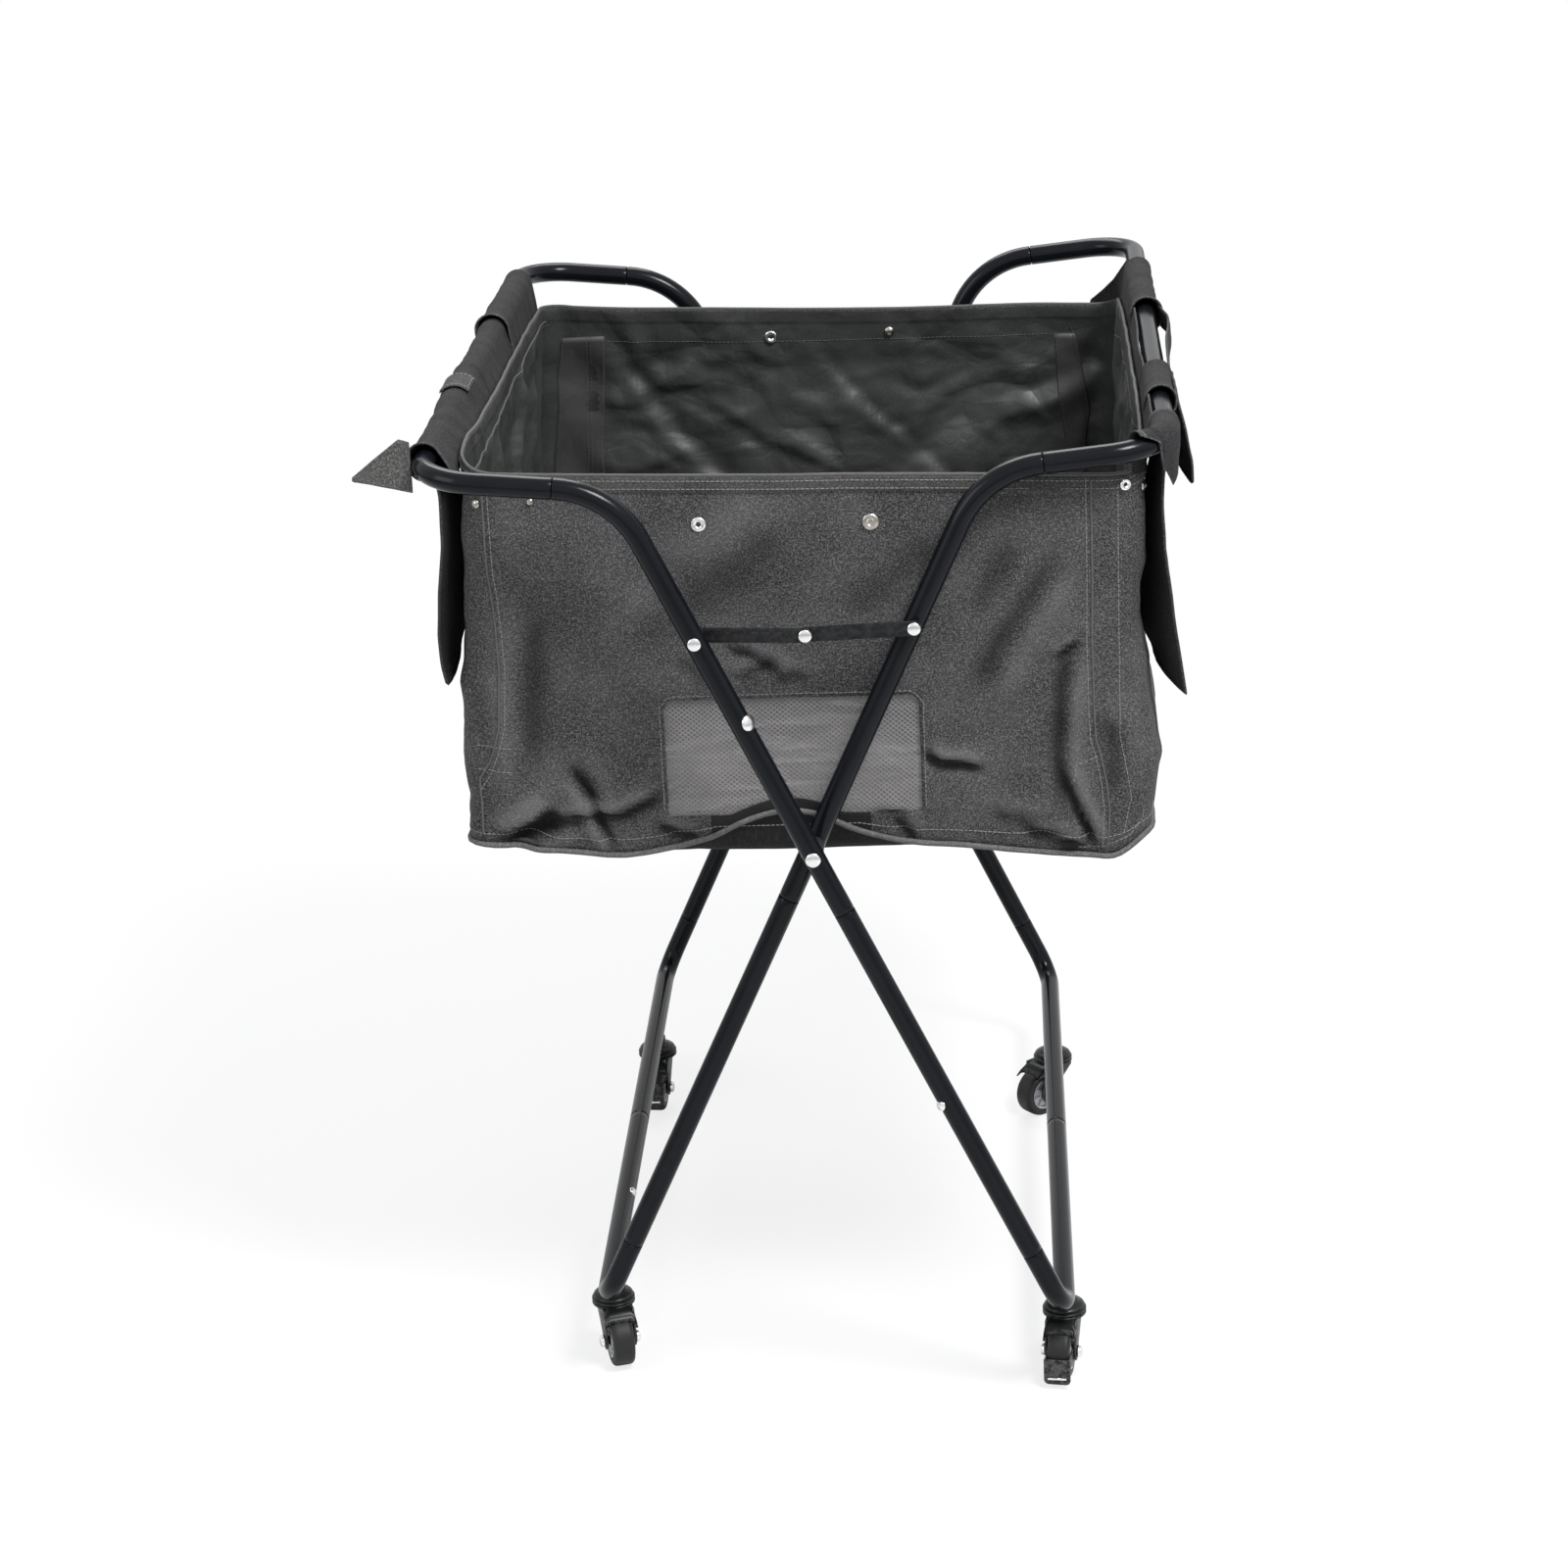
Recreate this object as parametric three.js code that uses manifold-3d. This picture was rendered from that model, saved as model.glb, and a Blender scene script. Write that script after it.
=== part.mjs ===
// A folding ball cart. Two crossed loops of steel tube turn on a front and a rear pivot, a fabric
// bag is slung between their top rails, and four swivel casters carry the loops' bottom rails.
// Millimetres, X to the right, Y to the rear and Z up, with the origin on the floor under the
// middle of the cart's box. The loop that ends in the left top rail is called the left frame.
import * as THREE from "three";
import { mergeVertices } from "three/addons/utils/BufferGeometryUtils.js";
import Module from "manifold-3d";

const wasm = await Module();
wasm.setup();

const gap = 0.3; // between pieces that touch
const overrun = 2; // how far a cut runs past the face that it leaves
const roundSides = 10; // facets round a tube, a pin or a hole
const wheelSides = 20; // facets round a wheel

const frame = {
  length: 750, // between the front and rear legs of one loop
  offset: 34, // of one loop behind the other
  topWidth: 616, // between the two top rails
  pivotHeight: 533,
  legTopHeight: 863, // where the legs meet the handles
  footHeight: 85, // of the bottom rails
  legLean: THREE.MathUtils.degToRad(25),
  handleRise: THREE.MathUtils.degToRad(5.7),
};

const tube = {
  radius: 9.5,
  wall: 1.2,
  handleBend: 85,
  railBend: 50,
  footBend: 30,
  neckLength: 22, // of a swaged end, inside the next section
  neckWall: 1,
  plugLength: 4, // of the shoulder behind a neck
  pivotJoint: 58, // along the leg from the pivot to the joint below it
  footJoint: 67, // along the leg from the foot corner to the joint above it
  handleJoint: 51, // along the handle from the leg's top to the joint
  bendSteps: 4,
};

const pivot = { radius: 4, headRadius: 6.6, headHeight: 3.2, spacerRadius: 8.5 };

// Of a rivet head's height: where its straight rim ends, and where its shoulder turns to the crown.
const domeShares = { rim: 0.5, shoulder: 0.8 };

const linkRiseShare = 0.6; // of the way from the main pivot to the legs' tops, where the links turn

const link = {
  width: 13,
  thickness: 2.5,
  drop: 3, // of the middle pin below the outer pins, past the straight line
  pinRadius: 3,
  headRadius: 5.8,
  headHeight: 2.6,
  collarRadius: 5,
  tailHeight: 1.6,
};

const caster = {
  frontInset: 57, // of a front swivel from the loop's front legs
  rearInset: 152, // of a rear swivel from the loop's rear legs
  wheelRadius: 25,
  wheelWidth: 20,
  treadRound: 3.5,
  hubRadius: 16,
  hubRecess: 2.2,
  hubBossRadius: 7.5,
  trail: 20,
  axleRadius: 4,
  nutRadius: 6,
  nutThickness: 4.4,
  forkWall: 2,
  forkClear: 2.4, // from the wheel's side to the fork, which leaves room for the brake's arms
  forkEndRadius: 8.5,
  crownRadius: 20,
  crownThickness: 3,
  crownTop: 57,
  kingpinRadius: 4,
  kingpinHeadRadius: 6.5,
  kingpinHead: 2.6,
  cupHeight: 3,
  ridgeRadius: 17,
  ridgeHeight: 3.4,
  shoulderRadius: 12,
  shoulderHeight: 2.4,
  collarRadius: 9,
  stemReach: 12, // up past the underside of the rail
};
const forkFrontShare = 0.66; // of the crown's radius, where the fork's cheek ends at the front

const brake = {
  armWall: 1.4,
  armClear: 0.5,
  armHeight: 10,
  eyeRadius: 7.6,
  tabReach: 29, // of the tab's outer face from the axle
  tabWall: 2.2,
  tabAbove: 5,
  tabBelow: 20,
  slotWidth: 17,
  slotHeight: 2.6,
  slotBelow: 13,
  travel: THREE.MathUtils.degToRad(20),
};

// Each caster's turn about its swivel, and whether it has a brake, pressed or raised.
const casterTurns = {
  front_left: { turn: THREE.MathUtils.degToRad(17), brakeRaised: null },
  front_right: { turn: THREE.MathUtils.degToRad(-10), brakeRaised: false },
  rear_left: { turn: THREE.MathUtils.degToRad(-4), brakeRaised: true },
  rear_right: { turn: THREE.MathUtils.degToRad(-48), brakeRaised: null },
};

const bag = {
  wall: 1.6,
  legClear: 5.5, // from the inner legs to the front and rear panels
  railClear: 9.5, // from the inner side of a top rail to the side panel
  hemDrop: 21, // of the hem below the rails' centres
  height: 334,
  bulge: 12, // of each side panel at the belly, past its hem
  bellyHeight: 60, // of the widest line above the floor of the bag
  bottomTuck: 5, // of the bottom edge inside the belly
  cornerRadius: 26,
  cornerSteps: 4,
  windowWidth: 224,
  windowHeight: 106,
  windowRise: 30, // of the window's lower edge above the bag's bottom
  windowShift: -8,
  windowRound: 10,
  netThickness: 0.8,
};

const wrap = {
  thickness: 2.6,
  tailLength: 26, // of the strap from the rail to the side panel
  tailThickness: 2,
};

// Stretches of the top rails that the fabric wraps, from front to rear, as shares of the rail's
// half length.
const wrapShares = {
  left_rear_wrap: [0.34, 0.84],
  left_middle_wrap: [-0.13, 0.335],
  left_front_wrap: [-0.84, -0.135],
  right_rear_wrap: [0.2, 0.68],
  right_middle_wrap: [-0.62, -0.38],
  right_front_wrap: [-0.86, -0.8],
};
const cornerWrap = "right_front_wrap";
const cornerWrapShare = 0.67; // of the front corner's bend that this wrap follows too

// The loose ends of the wraps' straps.
const flap = {
  thickness: 2,
  cornerReach: 53, // of the stiff end out past the left rail's wrap
  cornerHeight: 36,
  sideWidth: 68,
  leftDrop: 172,
  leftBow: 11,
  rightDrop: 178,
  rightBow: 18,
  rightPoint: 34, // of the tip below the square part
  middleDrop: 92,
  middleBow: 5,
};
const cornerTopShare = 0.25; // of the corner end's reach, where its level top stops
const flapPlaceShares = { left: 0.14, right: 0.5, middle: 0.5 }; // along the wrap, front to rear

// How a hanging end bows outward on its way down: shares of its drop, and of its bow.
const leftBowShares = [[0, 0], [0.4, 0.5], [0.75, 1], [1, 0.7]];
const rightBowShares = [[0, 0], [0.35, 0], [0.65, 0.3], [0.85, 0.65], [1, 1]];
const middleBowShares = [[0, 0], [0.5, 1], [1, 0.6]];

// Places that follow from the sizes above.
const frontLegs = -frame.length / 2;
const rearLegs = frame.length / 2;
const halfOffset = frame.offset / 2;
const halfTop = frame.topWidth / 2;
const linkRise = linkRiseShare * (frame.legTopHeight - frame.pivotHeight);
const neckHalf = (frame.legTopHeight - frame.pivotHeight) * Math.tan(frame.legLean);
const footHalf = (frame.pivotHeight - frame.footHeight) * Math.tan(frame.legLean);
const railHeight = frame.legTopHeight + (halfTop - neckHalf) * Math.tan(frame.handleRise);
const boreRadius = tube.radius - tube.wall;
const planeGap = frame.offset - 2 * tube.radius; // between the crossing legs
const bagTop = railHeight - bag.hemDrop;
const bagBottom = bagTop - bag.height;
const bagHalfX = halfTop - tube.radius - bag.railClear;
const bagHalfY = rearLegs - halfOffset - tube.radius - bag.legClear;

// The radius of a faceted hole that clears a round pin or tube all the way round.
const boreClear = (radius) => (radius + gap) / Math.cos(Math.PI / roundSides);
const wrapReach = boreClear(tube.radius) + wrap.thickness + gap; // from a rail's centre line

const paint = (color, roughness, metalness) =>
  new THREE.MeshStandardMaterial({ color, roughness, metalness });
const finishes = {
  tube: () => paint(0x15181c, 0.22, 0.4),
  rivet: () => paint(0xb9bcbd, 0.35, 0.9),
  blackSteel: () => paint(0x1a1c1d, 0.4, 0.4),
  tread: () => paint(0x2c2e2f, 0.7, 0),
  fabric: () => paint(0x3a3b3d, 0.95, 0),
  net: () => paint(0x2f3031, 0.8, 0),
};

// The left side reaches farther out, by its corner end less the right middle end's thickness.
const root = new THREE.Group();
root.position.x = (flap.cornerReach - flap.thickness - flap.middleBow) / 2;

function addMesh(parent, name, geometry, finish) {
  const mesh = new THREE.Mesh(geometry, finishes[finish]());
  mesh.name = name;
  parent.add(mesh);
  return mesh;
}

function addGroup(parent, position, turn = 0) {
  const group = new THREE.Group();
  group.position.copy(position);
  group.rotation.z = turn;
  parent.add(group);
  return group;
}

// The geometry's surface as a solid with its faces pointing out.
function solidOf(geometry) {
  const bare = geometry.clone();
  for (const name of Object.keys(bare.attributes)) {
    if (name !== "position") bare.deleteAttribute(name);
  }
  const merged = mergeVertices(bare, 1e-4);
  const vertProperties = merged.attributes.position.array;
  const make = (triVerts) =>
    new wasm.Manifold(new wasm.Mesh({ numProp: 3, vertProperties, triVerts }));
  const corners = new Uint32Array(merged.index.array);
  const made = make(corners);
  return made.volume() > 0 ? made : make(corners.reverse());
}

function geometryOf(solid) {
  const mesh = solid.getMesh();
  return new THREE.BufferGeometry()
    .setAttribute("position", new THREE.BufferAttribute(mesh.vertProperties, 3))
    .setIndex(new THREE.BufferAttribute(mesh.triVerts, 1));
}

const joined = (first, ...others) => others.reduce((sum, piece) => sum.add(piece), first);

// A turned surface about the Z axis, from [radius, height] pairs.
function lathe(profile, sides = roundSides) {
  const points = profile.map(([radius, height]) => new THREE.Vector2(radius, height));
  return new THREE.LatheGeometry(points, sides).rotateX(Math.PI / 2);
}

const turned = (profile, sides) => solidOf(lathe(profile, sides));

const rod = (radius, from, to) => turned([[0, from], [radius, from], [radius, to], [0, to]]);

const ring = (inner, outer, from, to) =>
  turned([[inner, from], [outer, from], [outer, to], [inner, to], [inner, from]]);

const turnY = (solid) => solid.rotate([-90, 0, 0]); // the Z axis laid along +Y
const turnX = (solid) => solid.rotate([0, 90, 0]); // the Z axis laid along +X

function box(from, to) {
  const size = to.map((value, axis) => value - from[axis]);
  const middle = to.map((value, axis) => (value + from[axis]) / 2);
  return solidOf(new THREE.BoxGeometry(...size).translate(...middle));
}

// A flat plate of a 2D shape, from one height to another along Z.
function plate(shape, from, to, curveSegments = roundSides) {
  const options = { depth: to - from, bevelEnabled: false, curveSegments };
  return solidOf(new THREE.ExtrudeGeometry(shape, options).translate(0, 0, from));
}

// A plate whose 2D shape lies in the YZ plane, from one X to another.
const sidePlate = (shape, from, to) => plate(shape, from, to).rotate([90, 0, 90]);

// A path of rings: one at each end, and a row of them round each bend.
class RingPath extends THREE.Curve {
  constructor(rings) {
    super();
    this.rings = rings;
  }

  ringAt(share) {
    return this.rings[Math.round(share * (this.rings.length - 1))];
  }

  getPoint(share) {
    return this.ringAt(share).point.clone();
  }

  getPointAt(share) {
    return this.getPoint(share);
  }

  getTangentAt(share) {
    return this.ringAt(share).along.clone();
  }
}

// Rings along straight runs between the points, with an arc of the given radius at each corner.
function bentRings(points, bendRadius) {
  const first = points[1].clone().sub(points[0]).normalize();
  const rings = [{ point: points[0], along: first }];
  for (let index = 1; index < points.length - 1; index += 1) {
    rings.push(...cornerRings(points[index - 1], points[index], points[index + 1], bendRadius));
  }
  const last = points.at(-1);
  rings.push({ point: last, along: last.clone().sub(points.at(-2)).normalize() });
  return rings;
}

function cornerRings(before, corner, after, bendRadius) {
  const inward = corner.clone().sub(before).normalize();
  const outward = after.clone().sub(corner).normalize();
  const turn = inward.angleTo(outward);
  const reach = bendRadius * Math.tan(turn / 2);
  const start = corner.clone().addScaledVector(inward, -reach);
  const side = outward.clone().addScaledVector(inward, -outward.dot(inward)).normalize();
  const rings = [];
  for (let step = 0; step <= tube.bendSteps; step += 1) {
    const angle = (turn * step) / tube.bendSteps;
    const point = start
      .clone()
      .addScaledVector(inward, bendRadius * Math.sin(angle))
      .addScaledVector(side, bendRadius * (1 - Math.cos(angle)));
    const along = inward
      .clone()
      .multiplyScalar(Math.cos(angle))
      .addScaledVector(side, Math.sin(angle));
    rings.push({ point, along });
  }
  return rings;
}

function ringShape(outer, inner) {
  const shape = new THREE.Shape().absarc(0, 0, outer, 0, 2 * Math.PI);
  shape.holes.push(new THREE.Path().absarc(0, 0, inner, 0, 2 * Math.PI));
  return shape;
}

// A hollow tube of the given radii along a path of rings.
function hollowAlong(rings, outer, inner) {
  const geometry = new THREE.ExtrudeGeometry(ringShape(outer, inner), {
    steps: rings.length - 1,
    curveSegments: roundSides / 2,
    bevelEnabled: false,
    extrudePath: new RingPath(rings),
  });
  return solidOf(geometry);
}

// The swaged neck of a section's end, with the shoulder that closes the tube in to it. It points
// out of the section along the given direction, into the bore of the next section.
function swagedNeck(end, outward) {
  const radius = boreRadius * Math.cos(Math.PI / roundSides) - gap;
  const bore = radius - tube.neckWall;
  const shoulder = tube.radius - tube.wall / 2;
  const profile = [
    [bore, -tube.plugLength],
    [shoulder, -tube.plugLength],
    [shoulder, -gap],
    [radius, -gap],
    [radius, tube.neckLength],
    [bore, tube.neckLength],
    [bore, -tube.plugLength],
  ];
  const turn = new THREE.Quaternion().setFromUnitVectors(new THREE.Vector3(0, 0, 1), outward);
  return solidOf(lathe(profile).applyQuaternion(turn).translate(end.x, end.y, end.z));
}

// A section of a loop, open at its first end. Its last end has a neck unless it is left open, and
// its first end has one too where both are asked for.
function tubeSection(points, bendRadius, necks = "last") {
  const rings = bentRings(points, bendRadius);
  const first = rings[0];
  const last = rings.at(-1);
  first.point = first.point.clone().addScaledVector(first.along, gap / 2);
  last.point = last.point.clone().addScaledVector(last.along, -gap / 2);
  let section = hollowAlong(rings, tube.radius, boreRadius);
  if (necks !== "none") section = section.add(swagedNeck(last.point, last.along));
  if (necks !== "both") return section;
  return section.add(swagedNeck(first.point, first.along.clone().negate()));
}

// The corner points and joints of one loop. The side is -1 for the left frame and 1 for the right.
function loopPlaces(side) {
  const shift = side * halfOffset;
  const front = frontLegs + shift;
  const rear = rearLegs + shift;
  const lean = new THREE.Vector3(-side * Math.sin(frame.legLean), 0, -Math.cos(frame.legLean));
  const rise = new THREE.Vector3(side * Math.cos(frame.handleRise), 0, Math.sin(frame.handleRise));
  const ends = {};
  for (const [name, y] of Object.entries({ front, rear })) {
    const crossing = new THREE.Vector3(0, y, frame.pivotHeight);
    const legTop = new THREE.Vector3(side * neckHalf, y, frame.legTopHeight);
    const foot = new THREE.Vector3(-side * footHalf, y, frame.footHeight);
    ends[name] = {
      y,
      crossing,
      legTop,
      foot,
      railCorner: new THREE.Vector3(side * halfTop, y, railHeight),
      handleJoint: legTop.clone().addScaledVector(rise, tube.handleJoint),
      pivotJoint: crossing.clone().addScaledVector(lean, tube.pivotJoint),
      footJoint: foot.clone().addScaledVector(lean, -tube.footJoint),
    };
  }
  const railJoint = ends.front.foot.clone().lerp(ends.rear.foot, 1 / 2);
  return { ...ends, railJoint };
}

// A hole for a pin that lies along Y, through every wall of a leg in the plane at y.
const pinHole = (radius, x, y, z) =>
  turnY(rod(boreClear(radius), -tube.radius - overrun, tube.radius + overrun)).translate([x, y, z]);

// Where a loop's link pin stands on its upper leg.
const linkPinX = (side) => side * linkRise * Math.tan(frame.legLean);
const linkPinZ = frame.pivotHeight + linkRise;

function upperLeg(points, side, y) {
  const leg = tubeSection(points, tube.handleBend);
  return leg
    .subtract(pinHole(pivot.radius, 0, y, frame.pivotHeight))
    .subtract(pinHole(link.pinRadius, linkPinX(side), y, linkPinZ));
}

// A foot section, with a hole in the rail's underside for the caster's stem.
function footSection(points, place, necks) {
  const under = frame.footHeight - tube.radius;
  const hole = rod(boreClear(caster.kingpinRadius), under - overrun, frame.footHeight);
  return tubeSection(points, tube.footBend, necks).subtract(hole.translate(place));
}

const swivelY = (loop, end) =>
  end === "front" ? loop.front.y + caster.frontInset : loop.rear.y - caster.rearInset;

function addLoop(side, name) {
  const loop = loopPlaces(side);
  const add = (piece, solid) => addMesh(root, `${name}_${piece}`, geometryOf(solid), "tube");
  const { front, rear } = loop;
  const rail = [front.handleJoint, front.railCorner, rear.railCorner, rear.handleJoint];
  add("top_rail", tubeSection(rail, tube.railBend, "none"));
  for (const [end, necks] of [["front", "both"], ["rear", "last"]]) {
    const { y, foot, footJoint, pivotJoint, legTop, handleJoint } = loop[end];
    add(`${end}_upper_leg`, upperLeg([pivotJoint, legTop, handleJoint], side, y));
    add(`${end}_lower_leg`, tubeSection([footJoint, pivotJoint], 0));
    const swivel = [foot.x, swivelY(loop, end), 0];
    add(`${end}_foot`, footSection([loop.railJoint, foot, footJoint], swivel, necks));
  }
  return loop;
}

// A low dome from a flat base, as [radius, height] pairs that end on the axis.
function dome(radius, height, base) {
  const rim = [radius, base + height * domeShares.rim];
  const crown = radius - Math.abs(height) * domeShares.rim;
  const shoulder = [crown, base + height * domeShares.shoulder];
  return [[radius, base], rim, shoulder, [0, base + height]];
}

// The pin through both crossing legs, about its own middle, with its axis along Y.
function pivotRivet() {
  const seat = (frame.offset + 2 * tube.radius) / 2 + gap;
  const lower = dome(pivot.headRadius, -pivot.headHeight, -seat).reverse();
  const upper = dome(pivot.headRadius, pivot.headHeight, seat);
  return turnY(turned([...lower, [pivot.radius, -seat], [pivot.radius, seat], ...upper]));
}

function pivotSpacer() {
  const half = planeGap / 2 - gap;
  return turnY(ring(boreClear(pivot.radius), pivot.spacerRadius, -half, half));
}

// The pin that carries a link beside its leg. Its axis runs from the leg's outer side at the
// bottom, up through the leg, along a collar in the gap, and through the link to its tail.
function linkRivet(headHeight, tailHeight, tailRadius) {
  const outside = -tube.radius - gap;
  const inside = tube.radius + gap;
  const linkEnd = tube.radius + planeGap / 2 - gap / 2;
  const collarEnd = linkEnd - link.thickness - gap;
  return turned([
    ...dome(link.headRadius, -headHeight, outside).reverse(),
    [link.pinRadius, outside],
    [link.pinRadius, inside],
    [link.collarRadius, inside],
    [link.collarRadius, collarEnd],
    [link.pinRadius, collarEnd],
    [link.pinRadius, linkEnd + gap],
    ...dome(tailRadius, tailHeight, linkEnd + gap),
  ]);
}

// A link as a flat bar in the XZ plane, from its outer pin at the origin to the middle pin.
const linkLength = Math.hypot(linkPinX(1), link.drop);
const linkSlope = Math.atan2(link.drop, linkPinX(1));

function linkShape() {
  const half = link.width / 2;
  const shape = new THREE.Shape();
  shape.absarc(0, 0, half, Math.PI / 2, (3 * Math.PI) / 2);
  shape.absarc(linkLength, 0, half, -Math.PI / 2, Math.PI / 2);
  return shape;
}

// A bar between two heights, with a pin hole at each of the given places along it.
function linkBar(near, far, holes) {
  const pinCut = rod(boreClear(link.pinRadius), near - overrun, far + overrun);
  const bar = plate(linkShape(), near, far, roundSides / 2);
  return holes.reduce((solid, x) => solid.subtract(pinCut.translate([x, 0, 0])), bar);
}

// The links lie back to back on the plane midway between the loops.
const linkNear = gap / 2;
const linkFar = linkNear + link.thickness;
const stand = (solid) => solid.rotate([90, 0, 0]); // what faced up now faces the front

function outerLink() {
  const bar = linkBar(linkNear, linkFar, [0, linkLength]);
  const sloped = bar.rotate([0, 0, -THREE.MathUtils.radToDeg(linkSlope)]);
  return stand(sloped).translate([linkPinX(-1), 0, linkRise]);
}

// The inner link has a boss on its rear where the middle rivet is set.
function innerLink() {
  const bar = linkBar(-linkFar, -linkNear, [0]);
  const sloped = bar.rotate([0, 0, 180 + THREE.MathUtils.radToDeg(linkSlope)]);
  const bossBase = gap - linkFar;
  const profile = dome(link.headRadius, -link.tailHeight, bossBase).reverse();
  const boss = stand(turned([...profile, [0, bossBase]]));
  const placed = stand(sloped).translate([linkPinX(1), 0, 0]);
  return placed.add(boss.translate([0, 0, -link.drop])).translate([0, 0, linkRise]);
}

function middleLinkRivet() {
  const seat = linkFar + gap;
  const shank = [[0, linkNear], [link.pinRadius, linkNear], [link.pinRadius, seat]];
  const rivet = turned([...shank, ...dome(link.headRadius, link.headHeight, seat)]);
  return stand(rivet).translate([0, 0, linkRise - link.drop]);
}

// One end's links, seen from outside: the outer loop's upper leg is on the left, and the inner
// loop's is on the right. The group's origin is on the pivot's axis, midway between the loops.
function addLinks(parent, outerName, innerName, middleName) {
  const add = (name, solid, finish) => addMesh(parent, name, geometryOf(solid), finish);
  const { headHeight, tailHeight, headRadius, collarRadius } = link;
  const outerRivet = turnY(linkRivet(headHeight, tailHeight, collarRadius));
  const innerRivet = turnY(linkRivet(tailHeight, headHeight, headRadius)).rotate([0, 0, 180]);
  const outerPlace = [linkPinX(-1), -halfOffset, linkRise];
  const innerPlace = [linkPinX(1), halfOffset, linkRise];
  add(`${outerName}_link`, outerLink(), "blackSteel");
  add(`${innerName}_link`, innerLink(), "blackSteel");
  add(`${outerName}_link_rivet`, outerRivet.translate(outerPlace), "rivet");
  add(`${innerName}_link_rivet`, innerRivet.translate(innerPlace), "rivet");
  add(`${middleName}_link_rivet`, middleLinkRivet(), "rivet");
}

function addCrossing(y, turn, name, outerName, innerName) {
  const place = new THREE.Vector3(0, y, frame.pivotHeight);
  const group = addGroup(root, place, turn);
  addMesh(group, `${name}_pivot_rivet`, geometryOf(pivotRivet()), "rivet");
  addMesh(group, `${name}_pivot_spacer`, geometryOf(pivotSpacer()), "blackSteel");
  addLinks(group, outerName, innerName, `${name}_middle`);
}

// The fixed part of a caster: the kingpin, the upper cup with its ridges, and the stem.
function casterMount() {
  const crownFoot = caster.crownTop - caster.crownThickness;
  const cup = caster.crownTop + 2 * gap;
  const cupTop = cup + caster.cupHeight;
  const ridgeTop = cupTop + caster.ridgeHeight;
  const shoulder = ridgeTop + caster.shoulderHeight;
  const seat = frame.footHeight - tube.radius - gap;
  const slope = (caster.crownRadius - caster.ridgeRadius) / 2;
  return turned([
    [0, crownFoot - gap - caster.kingpinHead],
    [caster.kingpinHeadRadius, crownFoot - gap - caster.kingpinHead],
    [caster.kingpinHeadRadius, crownFoot - gap],
    [caster.kingpinRadius, crownFoot - gap],
    [caster.kingpinRadius, cup],
    [caster.crownRadius, cup],
    [caster.crownRadius, cupTop - slope],
    [caster.ridgeRadius, cupTop],
    [caster.ridgeRadius, ridgeTop],
    [caster.shoulderRadius, shoulder],
    [caster.collarRadius, shoulder],
    [caster.collarRadius, seat],
    [caster.kingpinRadius, seat],
    [caster.kingpinRadius, seat + caster.stemReach],
    [0, seat + caster.stemReach],
  ], roundSides + 2);
}

// The side of the fork, in the plane of the wheel: front to rear, and up.
function forkSide() {
  const { crownRadius, crownTop, trail, wheelRadius, forkEndRadius } = caster;
  const shape = new THREE.Shape();
  shape.moveTo(crownRadius * forkFrontShare, crownTop);
  shape.lineTo(-crownRadius - forkEndRadius / 2, crownTop);
  shape.lineTo(-trail - forkEndRadius, wheelRadius);
  shape.absarc(-trail, wheelRadius, forkEndRadius, Math.PI, 2 * Math.PI);
  shape.lineTo(crownRadius * forkFrontShare, crownTop - 2 * caster.crownThickness);
  return shape;
}

function casterFork() {
  const inner = caster.wheelWidth / 2 + caster.forkClear;
  const outer = inner + caster.forkWall;
  const crownFoot = caster.crownTop - caster.crownThickness;
  const crown = ring(boreClear(caster.kingpinRadius), caster.crownRadius, crownFoot, caster.crownTop);
  const cheeks = [sidePlate(forkSide(), inner, outer), sidePlate(forkSide(), -outer, -inner)];
  const hole = turnX(rod(boreClear(caster.axleRadius), -outer - overrun, outer + overrun));
  return joined(crown, ...cheeks).subtract(hole.translate([0, -caster.trail, caster.wheelRadius]));
}

// The wheel stands on one facet of its tread, so that the facets touch the wheel's circle.
function casterWheel() {
  const half = caster.wheelWidth / 2;
  const { treadRound, hubRadius, hubRecess, hubBossRadius } = caster;
  const tread = caster.wheelRadius / Math.cos(Math.PI / wheelSides);
  const bore = boreClear(caster.axleRadius);
  const side = [
    [bore, half],
    [hubBossRadius, half],
    [hubBossRadius, half - hubRecess],
    [hubRadius, half - hubRecess],
    [hubRadius, half],
    [tread - treadRound, half],
    [tread, half - treadRound],
  ];
  const other = side.map(([radius, width]) => [radius, -width]).reverse();
  const wheel = turnX(turned([...side, ...other, side[0]], wheelSides));
  return wheel.rotate([180 / wheelSides, 0, 0]);
}

function casterAxle() {
  const { axleRadius, nutRadius, nutThickness } = caster;
  const seat = caster.wheelWidth / 2 + caster.forkClear + caster.forkWall + gap;
  const lower = dome(nutRadius, -nutThickness, -seat).reverse();
  const upper = dome(nutRadius, nutThickness, seat);
  return turnX(turned([...lower, [axleRadius, -seat], [axleRadius, seat], ...upper]));
}

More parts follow.
